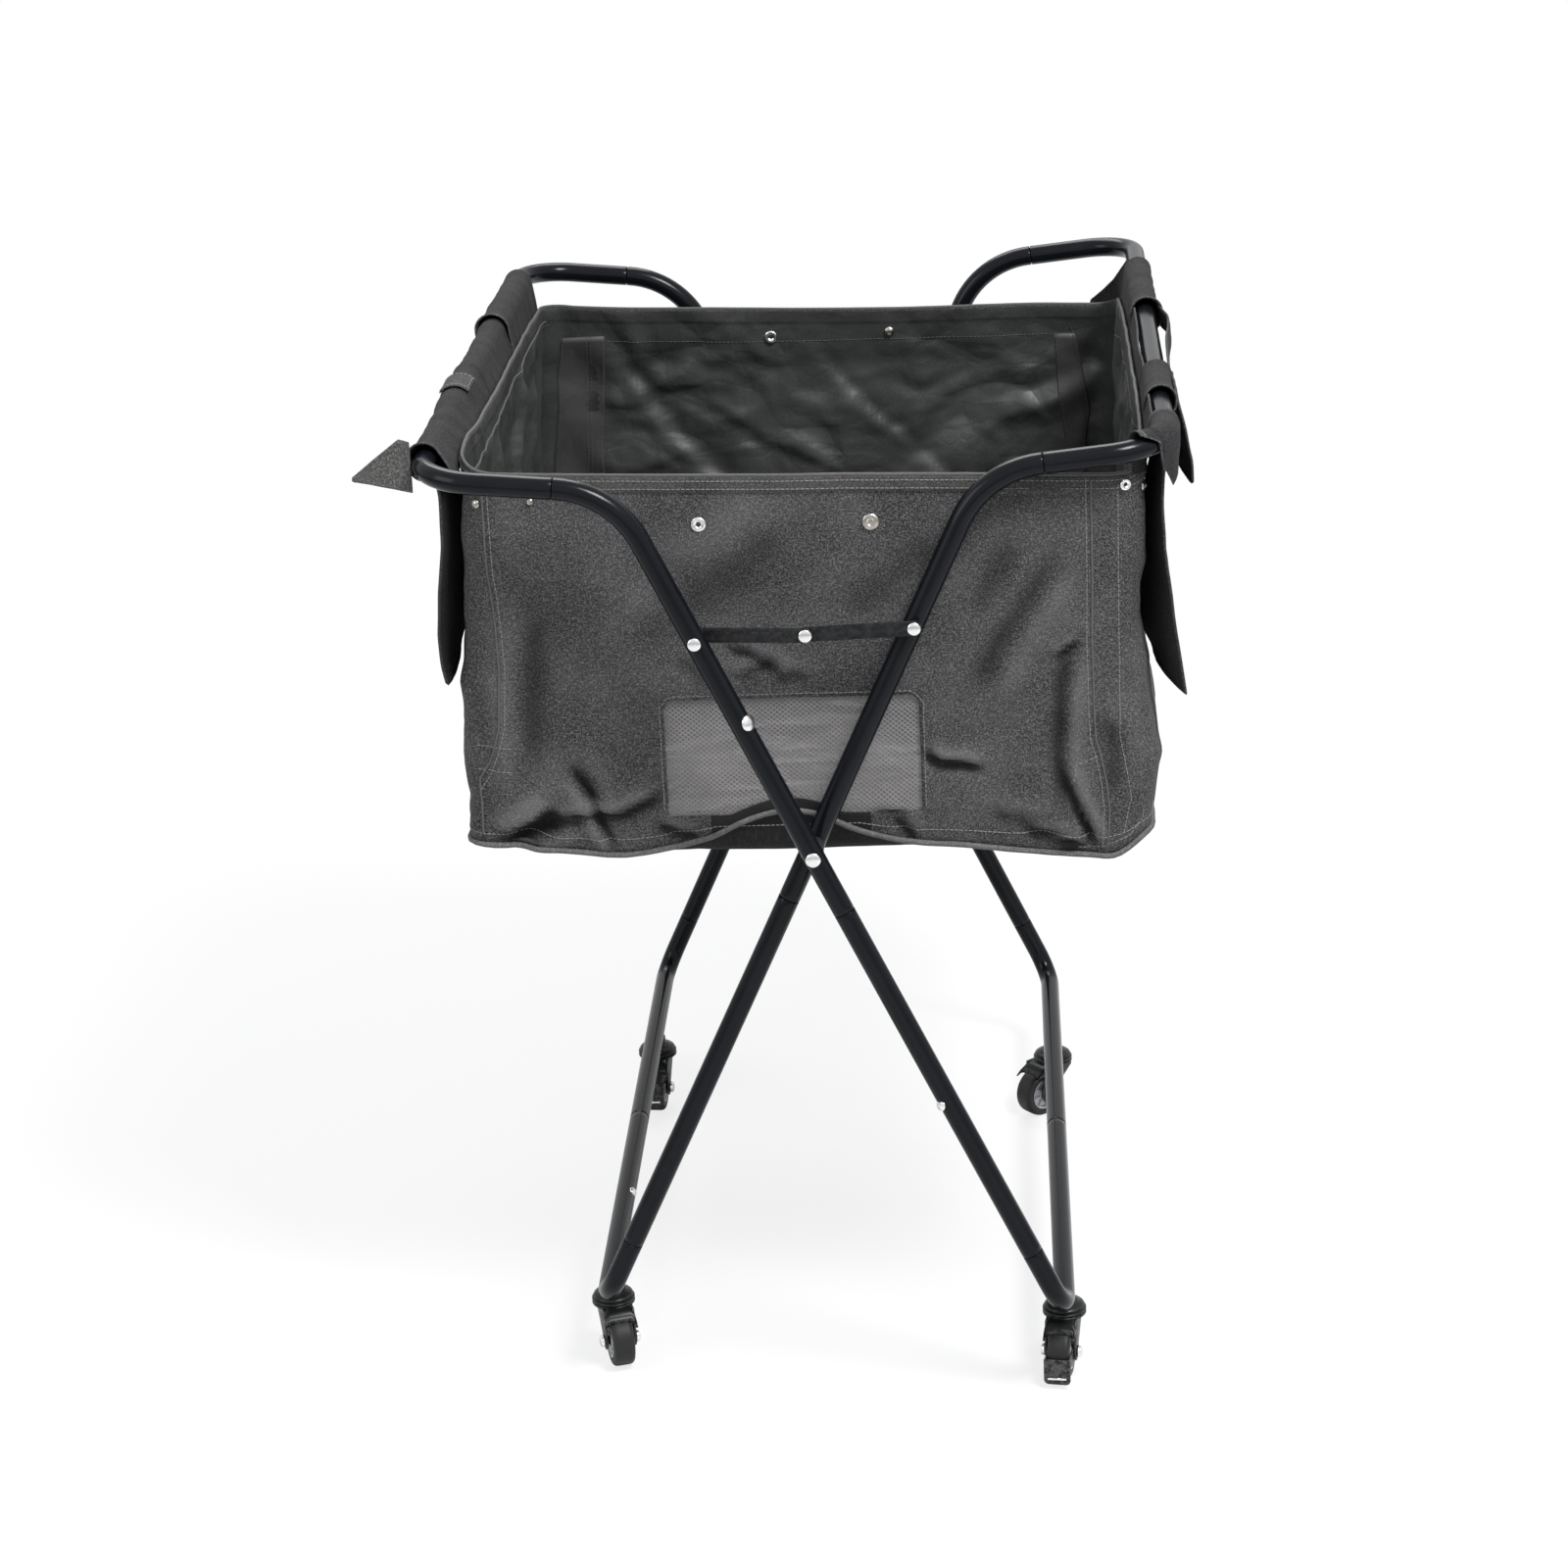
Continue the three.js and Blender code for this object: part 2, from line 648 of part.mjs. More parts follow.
// The brake lever about the axle, with its tab upright: arms inside the fork, and a slotted tab
// across them behind the wheel.
function brakeLever() {
  const armInner = caster.wheelWidth / 2 + brake.armClear;
  const armOuter = armInner + brake.armWall;
  const half = brake.armHeight / 2;
  const shape = new THREE.Shape();
  shape.absarc(0, 0, brake.eyeRadius, -Math.PI * 0.75, Math.PI * 0.75);
  shape.lineTo(-brake.tabReach, half);
  shape.lineTo(-brake.tabReach, -half);
  const arms = [sidePlate(shape, armInner, armOuter), sidePlate(shape, -armOuter, -armInner)];
  const tabInner = brake.tabReach - brake.tabWall;
  const tab = box(
    [-armOuter, -brake.tabReach, -brake.tabBelow],
    [armOuter, -tabInner, brake.tabAbove],
  );
  const slotHalf = brake.slotWidth / 2;
  const slotTop = -brake.slotBelow;
  const slot = box(
    [-slotHalf, -brake.tabReach - overrun, slotTop - brake.slotHeight],
    [slotHalf, -tabInner + overrun, slotTop],
  );
  const hole = turnX(rod(boreClear(caster.axleRadius), -armOuter - overrun, armOuter + overrun));
  return joined(tab, ...arms).subtract(hole).subtract(slot);
}

function addCaster(name, x, y) {
  const { turn, brakeRaised } = casterTurns[name];
  const place = new THREE.Vector3(x, y, 0);
  const mount = geometryOf(casterMount());
  addMesh(addGroup(root, place), `${name}_caster_mount`, mount, "blackSteel");
  const group = addGroup(root, place, turn);
  addMesh(group, `${name}_caster_fork`, geometryOf(casterFork()), "blackSteel");
  const addAtAxle = (piece, solid, finish) => {
    const mesh = addMesh(group, `${name}_${piece}`, geometryOf(solid), finish);
    mesh.position.set(0, -caster.trail, caster.wheelRadius);
    return mesh;
  };
  addAtAxle("wheel", casterWheel(), "tread");
  addAtAxle("axle", casterAxle(), "rivet");
  if (brakeRaised === null) return;
  addAtAxle("brake", brakeLever(), "blackSteel").rotation.x = brakeRaised ? -brake.travel : 0;
}

// A ring of points round a rectangle with round corners, level at one height.
function panelRing(halfX, halfY, radius, height) {
  const points = [];
  for (let corner = 0; corner < 4; corner += 1) {
    const signX = corner === 0 || corner === 3 ? 1 : -1;
    const signY = corner < 2 ? 1 : -1;
    for (let step = 0; step <= bag.cornerSteps; step += 1) {
      const angle = ((corner + step / bag.cornerSteps) * Math.PI) / 2;
      const x = signX * (halfX - radius) + radius * Math.cos(angle);
      const y = signY * (halfY - radius) + radius * Math.sin(angle);
      points.push(new THREE.Vector3(x, y, height));
    }
  }
  return points;
}

// A closed solid through a stack of rings with the same number of points.
function lofted(rings) {
  const count = rings[0].length;
  const positions = rings.flat().flatMap((point) => point.toArray());
  const triangles = [];
  for (let level = 0; level < rings.length - 1; level += 1) {
    for (let index = 0; index < count; index += 1) {
      const next = (index + 1) % count;
      const [a, b] = [level * count + index, level * count + next];
      triangles.push(a, b, b + count, a, b + count, a + count);
    }
  }
  const top = (rings.length - 1) * count;
  for (let index = 1; index < count - 1; index += 1) {
    triangles.push(0, index + 1, index, top, top + index, top + index + 1);
  }
  const geometry = new THREE.BufferGeometry();
  geometry.setAttribute("position", new THREE.Float32BufferAttribute(positions, 3));
  return solidOf(geometry.setIndex(triangles));
}

// The bag's body at an inset from its outer face, between two heights.
function bagForm(inset, bottom, top) {
  const level = (halfX, halfY, height) =>
    panelRing(halfX - inset, halfY - inset, bag.cornerRadius - inset, height);
  const bellyX = bagHalfX + bag.bulge;
  return lofted([
    level(bellyX - bag.bottomTuck, bagHalfY - bag.bottomTuck, bottom),
    level(bellyX, bagHalfY, bagBottom + bag.bellyHeight),
    level(bagHalfX, bagHalfY, top),
  ]);
}

function windowShape(inset) {
  const half = bag.windowWidth / 2 - inset;
  const low = bagBottom + bag.windowRise + inset;
  const high = bagBottom + bag.windowRise + bag.windowHeight - inset;
  const round = bag.windowRound - inset;
  const shape = new THREE.Shape();
  shape.moveTo(-half, low);
  shape.lineTo(half, low);
  shape.absarc(half - round, high - round, round, 0, Math.PI / 2);
  shape.absarc(-half + round, high - round, round, Math.PI / 2, Math.PI);
  return shape;
}

// A window-shaped block in the front panel, from one depth to another.
function windowBlock(inset, near, far) {
  const block = plate(windowShape(inset), -far, -near, bag.cornerSteps);
  return stand(block).translate([bag.windowShift, 0, 0]);
}

function addBag() {
  const outer = bagForm(0, bagBottom, bagTop);
  const inner = bagForm(bag.wall, bagBottom + bag.wall, bagTop + overrun);
  const cut = windowBlock(0, -bagHalfY - overrun, -bagHalfY + bag.wall + overrun);
  addMesh(root, "bag_shell", geometryOf(outer.subtract(inner).subtract(cut)), "fabric");
  const netFront = -bagHalfY + (bag.wall - bag.netThickness) / 2;
  const net = windowBlock(gap, netFront, netFront + bag.netThickness);
  addMesh(root, "bag_window_net", geometryOf(net), "net");
}

// The strap from a wrap's lower inner side to the side panel, between two places along Y.
function wrapTail(side, from, to) {
  const lean = (bag.railClear - wrap.tailThickness) / 2;
  const reach = wrap.tailLength / 2;
  const panelSlope = bag.bulge / (bag.height - bag.bellyHeight);
  const x = side * (bagHalfX + reach * panelSlope + gap);
  const shape = new THREE.Shape();
  const low = bagTop - reach;
  const high = railHeight - tube.radius;
  shape.moveTo(x, low);
  shape.lineTo(x + side * wrap.tailThickness, low);
  shape.lineTo(x + side * wrap.tailThickness, bagTop);
  shape.lineTo(side * (halfTop - tube.radius / 2), high - wrap.thickness / 2);
  shape.lineTo(side * (halfTop - tube.radius / 2 - lean), high + wrap.thickness / 2);
  shape.lineTo(x, bagTop);
  return stand(plate(shape, -to, -from));
}

// The side of the cart that a piece's name tells, from its middle.
const sideOf = (name) => (name.startsWith("left") ? -1 : 1);

// A place along a top rail, front to rear, from a share of the rail's half length.
const railPlace = (side, share) => side * halfOffset + share * rearLegs;

// The rings under a wrap on a straight stretch of a rail.
function straightRings(side, from, to) {
  const at = (y) => new THREE.Vector3(side * halfTop, y, railHeight);
  return bentRings([at(from), at(to)], 0);
}

// The rings under the wrap that follows part of the rail's front bend.
function cornerWrapRings(side, to, loop) {
  const start = new THREE.Vector3(side * halfTop, to, railHeight);
  const route = bentRings([start, loop.front.railCorner, loop.front.handleJoint], tube.railBend);
  return route.slice(0, 1 + Math.round(cornerWrapShare * (tube.bendSteps + 1)));
}

function addWrap(name) {
  const side = sideOf(name);
  const [from, to] = wrapShares[name].map((share) => railPlace(side, share));
  const loop = side < 0 ? leftLoop : rightLoop;
  const straight = straightRings(side, from, to);
  const route = name === cornerWrap ? cornerWrapRings(side, to, loop) : straight;
  const inner = boreClear(tube.radius);
  const sleeve = hollowAlong(route, inner + wrap.thickness, inner);
  const tail = wrapTail(side, from, to).subtract(hollowAlong(straight, inner, gap));
  addMesh(root, name, geometryOf(sleeve.add(tail)), "fabric");
}

// A strap's end that hangs beside a rail: a strip that bows outward on its way down, cut to a
// tip that reaches below its square part.
function hangingEnd(side, x, top, { middle, width, drop, bow, bowShares, point }) {
  const place = ([down, out]) => [x + side * out * bow, top - down * drop];
  const inner = bowShares.map(place);
  const outer = inner.map(([across, height]) => [across + side * flap.thickness, height]);
  const edge = [...inner, ...outer.reverse()].map((pair) => new THREE.Vector2(...pair));
  const half = width / 2;
  const strip = stand(plate(new THREE.Shape(edge), -middle - half, -middle + half));
  const square = top - drop + point;
  const outline = new THREE.Shape([
    new THREE.Vector2(middle - half, top),
    new THREE.Vector2(middle - half, square),
    new THREE.Vector2(middle, top - drop),
    new THREE.Vector2(middle + half, square),
    new THREE.Vector2(middle + half, top),
  ]);
  const reach = bow + flap.thickness + overrun;
  return strip.intersect(sidePlate(outline, x - reach, x + reach));
}

// The stretch of a rail under a wrap: its front end, its length, and a place along it.
function wrapStretch(name, share) {
  const [front, rear] = wrapShares[name].map((share) => railPlace(sideOf(name), share));
  const length = rear - front;
  return { front, length, middle: front + share * length };
}

function addHangingEnds() {
  const under = railHeight - wrapReach;
  const { sideWidth, leftDrop, leftBow, rightDrop, rightBow, rightPoint } = flap;
  const left = hangingEnd(-1, -halfTop, under, {
    middle: wrapStretch("left_front_wrap", flapPlaceShares.left).middle,
    width: sideWidth, drop: leftDrop, bow: leftBow, bowShares: leftBowShares, point: gap,
  });
  addMesh(root, "left_hanging_flap", geometryOf(left), "fabric");
  const right = hangingEnd(1, halfTop, under, {
    middle: wrapStretch("right_front_wrap", flapPlaceShares.right).middle,
    width: sideWidth, drop: rightDrop, bow: rightBow, bowShares: rightBowShares, point: rightPoint,
  });
  addMesh(root, "right_hanging_flap", geometryOf(right), "fabric");
}

function addMiddleEnd() {
  const stretch = wrapStretch("right_middle_wrap", flapPlaceShares.middle);
  const end = hangingEnd(1, halfTop + wrapReach, railHeight, {
    middle: stretch.middle, width: stretch.length, drop: flap.middleDrop,
    bow: flap.middleBow, bowShares: middleBowShares, point: gap,
  });
  addMesh(root, "right_middle_flap", geometryOf(end), "fabric");
}

// The stiff end that stands out from the left rail's front wrap, in the plane of the front.
function addCornerEnd() {
  const inner = -halfTop - wrapReach;
  const half = flap.cornerHeight / 2;
  const shape = new THREE.Shape();
  shape.moveTo(inner, railHeight - half);
  shape.lineTo(inner, railHeight + half);
  shape.lineTo(inner - flap.cornerReach * cornerTopShare, railHeight + half);
  shape.lineTo(inner - flap.cornerReach, railHeight - half);
  const { front } = wrapStretch("left_front_wrap", 0);
  const end = stand(plate(shape, -front - flap.thickness, -front));
  addMesh(root, "left_corner_flap", geometryOf(end), "fabric");
}

const leftLoop = addLoop(-1, "left_frame");
const rightLoop = addLoop(1, "right_frame");
addCrossing(frontLegs, 0, "front", "front_left", "front_right");
addCrossing(rearLegs, Math.PI, "rear", "rear_right", "rear_left");
addCaster("front_left", -footHalf, swivelY(rightLoop, "front"));
addCaster("front_right", footHalf, swivelY(leftLoop, "front"));
addCaster("rear_left", -footHalf, swivelY(rightLoop, "rear"));
addCaster("rear_right", footHalf, swivelY(leftLoop, "rear"));
addBag();
Object.keys(wrapShares).forEach(addWrap);
addHangingEnds();
addMiddleEnd();
addCornerEnd();

export default root;
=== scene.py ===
# A folding ball cart: two crossed loops of black tube, a cloth bag between them, four casters.
import bmesh
import bpy
import numpy as np
from math import acos, atan2, copysign, cos, dist, exp, hypot, pi, radians, sin, sqrt, tan
from mathutils import Matrix, Vector, noise


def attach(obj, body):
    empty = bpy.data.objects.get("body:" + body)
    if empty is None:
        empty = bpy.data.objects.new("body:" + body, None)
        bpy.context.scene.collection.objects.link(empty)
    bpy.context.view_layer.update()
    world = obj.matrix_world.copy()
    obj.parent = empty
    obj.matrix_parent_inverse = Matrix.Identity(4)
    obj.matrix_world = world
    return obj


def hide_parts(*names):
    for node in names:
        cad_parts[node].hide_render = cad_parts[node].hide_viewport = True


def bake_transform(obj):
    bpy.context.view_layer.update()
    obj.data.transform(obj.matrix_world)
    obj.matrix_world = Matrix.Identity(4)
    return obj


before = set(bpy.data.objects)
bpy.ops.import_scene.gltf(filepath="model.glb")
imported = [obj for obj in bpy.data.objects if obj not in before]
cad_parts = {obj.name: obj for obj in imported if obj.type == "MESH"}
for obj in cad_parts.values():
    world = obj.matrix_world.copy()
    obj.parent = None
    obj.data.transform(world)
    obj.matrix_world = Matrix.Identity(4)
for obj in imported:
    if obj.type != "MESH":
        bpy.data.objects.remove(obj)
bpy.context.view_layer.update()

cart = {"shiftX": 23.0, "seed": 7}  # millimetres from the cart's middle to the frame's origin
finishes = {}


def at(x, y, z):
    return Vector((x + cart["shiftX"], y, z)) / 1000


def addObject(name, data):
    made = bpy.data.objects.new(name, data)
    bpy.context.scene.collection.objects.link(made)
    return made


def feed(tree, value, socket):
    # Links an output, or a node's first one, to the socket, or sets a plain value on it.
    if isinstance(value, bpy.types.Node):
        value = value.outputs[0]
    if isinstance(value, bpy.types.NodeSocket):
        tree.links.new(value, socket)
    else:
        socket.default_value = value


def addNode(tree, kind, inputs=(), **settings):
    # Inputs go by their places, or by their names in a dictionary.
    made = tree.nodes.new(kind)
    for key, value in settings.items():
        setattr(made, key, value)
    for key, value in inputs.items() if isinstance(inputs, dict) else enumerate(inputs):
        feed(tree, value, made.inputs[key])
    return made


def maths(tree, operation, *values, **settings):
    return addNode(tree, "ShaderNodeMath", values, operation=operation, **settings)


def rampNode(tree, factor, low, high, bottom=0.0, top=1.0):
    ends = {"From Min": low, "From Max": high, "To Min": bottom, "To Max": top}
    return addNode(tree, "ShaderNodeMapRange", {"Value": factor, **ends}, interpolation_type="SMOOTHSTEP")


def newMaterial(name, roughness, metallic=0.0, specular=0.5):
    finishes[name] = bpy.data.materials.new(name)
    finishes[name].use_nodes = True
    tree = finishes[name].node_tree
    shader = tree.nodes["Principled BSDF"]
    for key, value in {"Roughness": roughness, "Metallic": metallic, "Specular IOR Level": specular}.items():
        shader.inputs[key].default_value = value
    return tree, shader


# The view: the camera stands in front, a little right of the middle, and looks down on the cart.
view = {"spot": (166.86, -3454.07, 1775.7), "yaw": -3.54, "pitch": 20.97, "roll": -2.63, "lens": 88.22}


def setCamera():
    yaw, pitch, roll = (radians(view[key]) for key in ("yaw", "pitch", "roll"))
    forward = Vector((sin(yaw) * cos(pitch), cos(yaw) * cos(pitch), -sin(pitch)))
    right = Vector((cos(yaw), -sin(yaw), 0))
    down = forward.cross(right)
    across = right * cos(roll) - down * sin(roll)
    up = -(right * sin(roll) + down * cos(roll))
    data = bpy.data.cameras.new("camera")
    data.lens, data.sensor_width, data.clip_end = view["lens"], 36, 30
    camera = addObject("camera", data)
    turn = Matrix((across, up, -forward)).transposed().to_4x4()
    camera.matrix_world = Matrix.Translation(at(*view["spot"])) @ turn
    bpy.context.scene.camera = camera


lamps = {
    # spot, size, power and aim
    "key": ((1300, -1500, 3300), 0.9, 128, (0, 0, 600)),
    "left": ((-2300, -1500, 1900), 1.4, 20, (0, 0, 500)),
    "back": ((-400, 1900, 2900), 1.6, 52, (0, 100, 700)),
}


def addLamp(name, spot, size, power, aim):
    data = bpy.data.lights.new(name, "AREA")
    data.shape, data.size, data.energy = "SQUARE", size, power
    lamp = addObject(name, data)
    lamp.location = at(*spot)
    lamp.rotation_euler = (at(*aim) - at(*spot)).to_track_quat("-Z", "Y").to_euler()


def setBackground():
    # White to the camera, off metal and through glass, and dim as a light.
    bpy.context.scene.world = world = bpy.data.worlds.new("studio")
    world.use_nodes = True
    tree = world.node_tree
    tree.nodes.clear()
    rays = addNode(tree, "ShaderNodeLightPath").outputs
    seen = rays["Is Camera Ray"]
    for ray in ("Is Glossy Ray", "Is Transmission Ray"):
        seen = maths(tree, "MAXIMUM", seen, rays[ray])
    lit = addNode(tree, "ShaderNodeBackground", ((0.93, 0.95, 1.0, 1), 0.36))
    shown = addNode(tree, "ShaderNodeBackground", ((1, 1, 1, 1), 1.0))
    mixed = addNode(tree, "ShaderNodeMixShader", (seen, lit, shown))
    addNode(tree, "ShaderNodeOutputWorld", (mixed,))


def addFloor(reach=40):
    mesh = bpy.data.meshes.new("floor")
    corners = [(-reach, -reach, 0), (reach, -reach, 0), (reach, reach, 0), (-reach, reach, 0)]
    mesh.from_pydata(corners, [], [(0, 1, 2, 3)])
    tree, shader = newMaterial("floor", 0.9)
    feed(tree, (0.93, 0.93, 0.93, 1), shader.inputs["Base Color"])
    # A part of white light keeps the floor pale near the cart, where its shadow falls, and
    # further out, in metres, the floor is all white.
    place = addNode(tree, "ShaderNodeTexCoord").outputs["Object"]
    away = addNode(tree, "ShaderNodeVectorMath", (place,), operation="LENGTH").outputs["Value"]
    camera = addNode(tree, "ShaderNodeLightPath").outputs["Is Camera Ray"]
    share = maths(tree, "MULTIPLY", camera, rampNode(tree, away, 0.7, 1.7, 0.78))
    mixed = addNode(tree, "ShaderNodeMixShader", (share, shader, addNode(tree, "ShaderNodeEmission")))
    feed(tree, mixed, tree.nodes["Material Output"].inputs["Surface"])
    mesh.materials.append(finishes["floor"])
    addObject("floor", mesh)


setCamera()
for lampName, lampPlan in lamps.items():
    addLamp(lampName, *lampPlan)
bpy.context.scene.view_settings.view_transform = "Standard"
setBackground()
addFloor()
print("stage: camera, lamps and floor")


# Shared effects, each a node group that a material gives its own values.
def newTree(kind, name, inputs, sort, outputs):
    # In the inputs a word is a socket's sort, and a number its value. All outputs are of one sort.
    tree = bpy.data.node_groups.new(name, kind)
    for socket, value in inputs.items():
        word = value if isinstance(value, str) else "Int" if isinstance(value, int) else "Float"
        made = tree.interface.new_socket(socket, in_out="INPUT", socket_type="NodeSocket" + word)
        if value is not word:
            made.default_value = value
    for socket in outputs:
        tree.interface.new_socket(socket, in_out="OUTPUT", socket_type="NodeSocket" + sort)
    return tree, tree.nodes.new("NodeGroupInput").outputs, tree.nodes.new("NodeGroupOutput").inputs


def effect(name, outputs, **inputs):
    return newTree("ShaderNodeTree", name, {"Vector": "Vector", **inputs}, "Float", outputs)


def noiseNode(tree, vector, scale, detail=2.0, roughness=0.5, distortion=0.0):
    look = {"Detail": detail, "Roughness": roughness, "Distortion": distortion}
    return addNode(tree, "ShaderNodeTexNoise", {"Vector": vector, "Scale": scale, **look})


def stretched(tree, vector, scale):
    return addNode(tree, "ShaderNodeMapping", {"Vector": vector, "Scale": scale})


# A plain weave of mixed light and dark yarns, on a cloth's own UV map in metres.
def heatherGroup():
    tree, start, end = effect("heatherWeave", ("Mask", "Height", "Cloud"), Fleck=1.0)
    vector = start["Vector"]
    yarns = (stretched(tree, vector, scale) for scale in ((300, 1100, 1), (1100, 300, 1)))
    weft, warp = (noiseNode(tree, yarn, 1.0, 1.0) for yarn in yarns)
    flecks, blotch = noiseNode(tree, vector, 620, 2.0, 0.7), noiseNode(tree, vector, 200)
    mixed = maths(tree, "MULTIPLY", blotch, 0.10)
    for layer, share in ((flecks, 0.54), (maths(tree, "MAXIMUM", weft, warp), 0.36)):
        mixed = maths(tree, "MULTIPLY_ADD", layer, share, mixed)
    wave = addNode(tree, "ShaderNodeTexChecker", {"Vector": vector, "Scale": 1400})
    feed(tree, maths(tree, "MULTIPLY", rampNode(tree, mixed, 0.45, 0.69), start["Fleck"]), end["Mask"])
    feed(tree, maths(tree, "MULTIPLY_ADD", wave.outputs["Fac"], 0.5, mixed), end["Height"])
    feed(tree, noiseNode(tree, vector, 14, 3.0, 0.6), end["Cloud"])
    return tree


# Straight creases between flat planes, for coated lining that has been folded.
def crinkleGroup():
    tree, start, end = effect("foldedCoat", ("Height",), Size=11.0)
    # Each layer's stretch, its weight, and the scale of the patches where it fades out.
    plan = (((1.0, 1.7, 1), 1.0, 8), ((2.5, 1.7, 1), 0.42, 13), ((4.2, 5.6, 1), 0.15, 10))
    layers = []
    for stretch, weight, scale in plan:
        bent = {"Vector": stretched(tree, start["Vector"], stretch), "Scale": start["Size"]}
        cells = addNode(tree, "ShaderNodeTexVoronoi", bent, feature="DISTANCE_TO_EDGE").outputs["Distance"]
        strength = rampNode(tree, noiseNode(tree, start["Vector"], scale, 1.0), 0.3, 0.75)
        layers.append(maths(tree, "MULTIPLY", maths(tree, "MULTIPLY", cells, strength), weight))
    feed(tree, maths(tree, "ADD", maths(tree, "ADD", layers[0], layers[1]), layers[2]), end["Height"])
    return tree


# Fine speckle and soft patches for paint, plastic and metal, on object coordinates.
def skinGroup():
    tree, start, end = effect("surfaceSkin", ("Height", "Cloud", "Scuff"), Grain=900.0, Patch=30.0)
    vector = start["Vector"]
    lines = noiseNode(tree, stretched(tree, vector, (60, 60, 900)), 1.0, 3.0, 0.7, 0.4)
    feed(tree, noiseNode(tree, vector, start["Grain"]), end["Height"])
    feed(tree, noiseNode(tree, vector, start["Patch"], 4.0, 0.6), end["Cloud"])
    feed(tree, rampNode(tree, lines, 0.62, 0.75), end["Scuff"])
    return tree


# Lighter worn edges, from how sharply the surface turns outwards.
def wearGroup():
    tree, start, end = effect("edgeWear", ("Mask",), Reach=0.06)
    edge = maths(tree, "SUBTRACT", addNode(tree, "ShaderNodeNewGeometry").outputs["Pointiness"], 0.5)
    share = maths(tree, "DIVIDE", edge, start["Reach"], use_clamp=True)
    broken = rampNode(tree, noiseNode(tree, start["Vector"], 260, 3.0), 0.35, 0.65)
    feed(tree, maths(tree, "MULTIPLY", share, broken, use_clamp=True), end["Mask"])
    return tree


heather, crinkle, skin, wear = heatherGroup(), crinkleGroup(), skinGroup(), wearGroup()


def groupNode(tree, group, vector, **values):
    return addNode(tree, "ShaderNodeGroup", {"Vector": vector, **values}, node_tree=group).outputs


def shade(colour, share=1):
    # Three parts, from three parts or one grey, times a share.
    return tuple(share * part for part in (colour if isinstance(colour, tuple) else (colour,) * 3))


def mixColours(tree, factor, *colours):
    # A mix node's colours are its inputs 6 and 7, and its mixed colour is output 2.
    low, high = ((*shade(end), 1) if isinstance(end, (tuple, float)) else end for end in colours)
    return addNode(tree, "ShaderNodeMix", {0: factor, 6: low, 7: high}, data_type="RGBA").outputs[2]


def bumpInto(tree, shader, height, strength, depth):
    bump = addNode(tree, "ShaderNodeBump", {"Height": height, "Strength": strength, "Distance": depth})
    feed(tree, bump, shader.inputs["Normal"])


def foldShadeAndHighlight(tree, colour, dark, light, highlightShare=0.42):
    # Painted highlight on the crests of folds and painted shade down in them, by the piece's own attribute.
    fold = addNode(tree, "ShaderNodeAttribute", attribute_name="fold").outputs["Fac"]
    hollow, crest = (maths(tree, "MULTIPLY", fold, share, use_clamp=True) for share in (-0.85, highlightShare))
    return mixColours(tree, crest, mixColours(tree, hollow, colour, shade(dark, 0.4)), light)


paintLook = {"cloud": 0.08, "scuff": 0.06, "depth": 0.0004}  # changes in roughness; speckle in metres


def hardFinish(
    name, low, high, roughness, grain=900.0, patch=30.0, bump=0.05, worn=None, wornRoughness=0.4, **look
):
    tree, shader = newMaterial(name, roughness, **look)
    vector = addNode(tree, "ShaderNodeTexCoord").outputs["Object"]
    surface = groupNode(tree, skin, vector, Grain=grain, Patch=patch)
    colour = mixColours(tree, surface["Cloud"], low, high)
    rough = roughness - paintLook["cloud"] / 2
    for mask in ("Cloud", "Scuff"):
        rough = maths(tree, "MULTIPLY_ADD", surface[mask], paintLook[mask.lower()], rough)
    if worn:
        edges = groupNode(tree, wear, vector)["Mask"]
        colour = mixColours(tree, edges, colour, worn)
        rough = maths(tree, "MULTIPLY_ADD", edges, wornRoughness - roughness, rough)
    feed(tree, colour, shader.inputs["Base Color"])
    feed(tree, rough, shader.inputs["Roughness"])
    bumpInto(tree, shader, surface["Height"], bump, paintLook["depth"])


def clothFinish(name, dark, light, fleck=1.0):
    tree, shader = newMaterial(name, 0.9, specular=0.25)
    weave = groupNode(tree, heather, addNode(tree, "ShaderNodeUVMap", uv_map="cloth"), Fleck=fleck)
    colour = mixColours(tree, weave["Mask"], dark, light)
    faded = mixColours(tree, rampNode(tree, weave["Cloud"], 0.3, 0.75), shade(dark, 0.8), light)
    worn = mixColours(tree, 0.16, colour, faded)
    # Painted shade down in the folds and a painted highlight on their crests.
    feed(tree, foldShadeAndHighlight(tree, worn, dark, light), shader.inputs["Base Color"])
    bumpInto(tree, shader, weave["Height"], 0.5, 0.0005)


def liningFinish(name, dark, light, roughness, creases):
    # Coated nylon: nearly black, smooth enough to shine along its creases.
    tree, shader = newMaterial(name, roughness, specular=0.4)
    vector = addNode(tree, "ShaderNodeUVMap", uv_map="cloth")
    weave = groupNode(tree, heather, vector, Fleck=0.35)
    colour = mixColours(tree, weave["Cloud"], dark, light)
    flecked = mixColours(tree, weave["Mask"], colour, shade(light, 1.5))
    # Painted shade down in the folds and a painted highlight on their crests.
    feed(tree, foldShadeAndHighlight(tree, flecked, dark, shade(light, 1.9), 0.3), shader.inputs["Base Color"])
    rough = maths(tree, "MULTIPLY_ADD", weave["Cloud"], 0.22, roughness - 0.11)
    feed(tree, rough, shader.inputs["Roughness"])
    coat = groupNode(tree, crinkle, vector)["Height"]
    bumpInto(tree, shader, maths(tree, "MULTIPLY_ADD", weave["Height"], 0.004, coat), creases, 0.012)


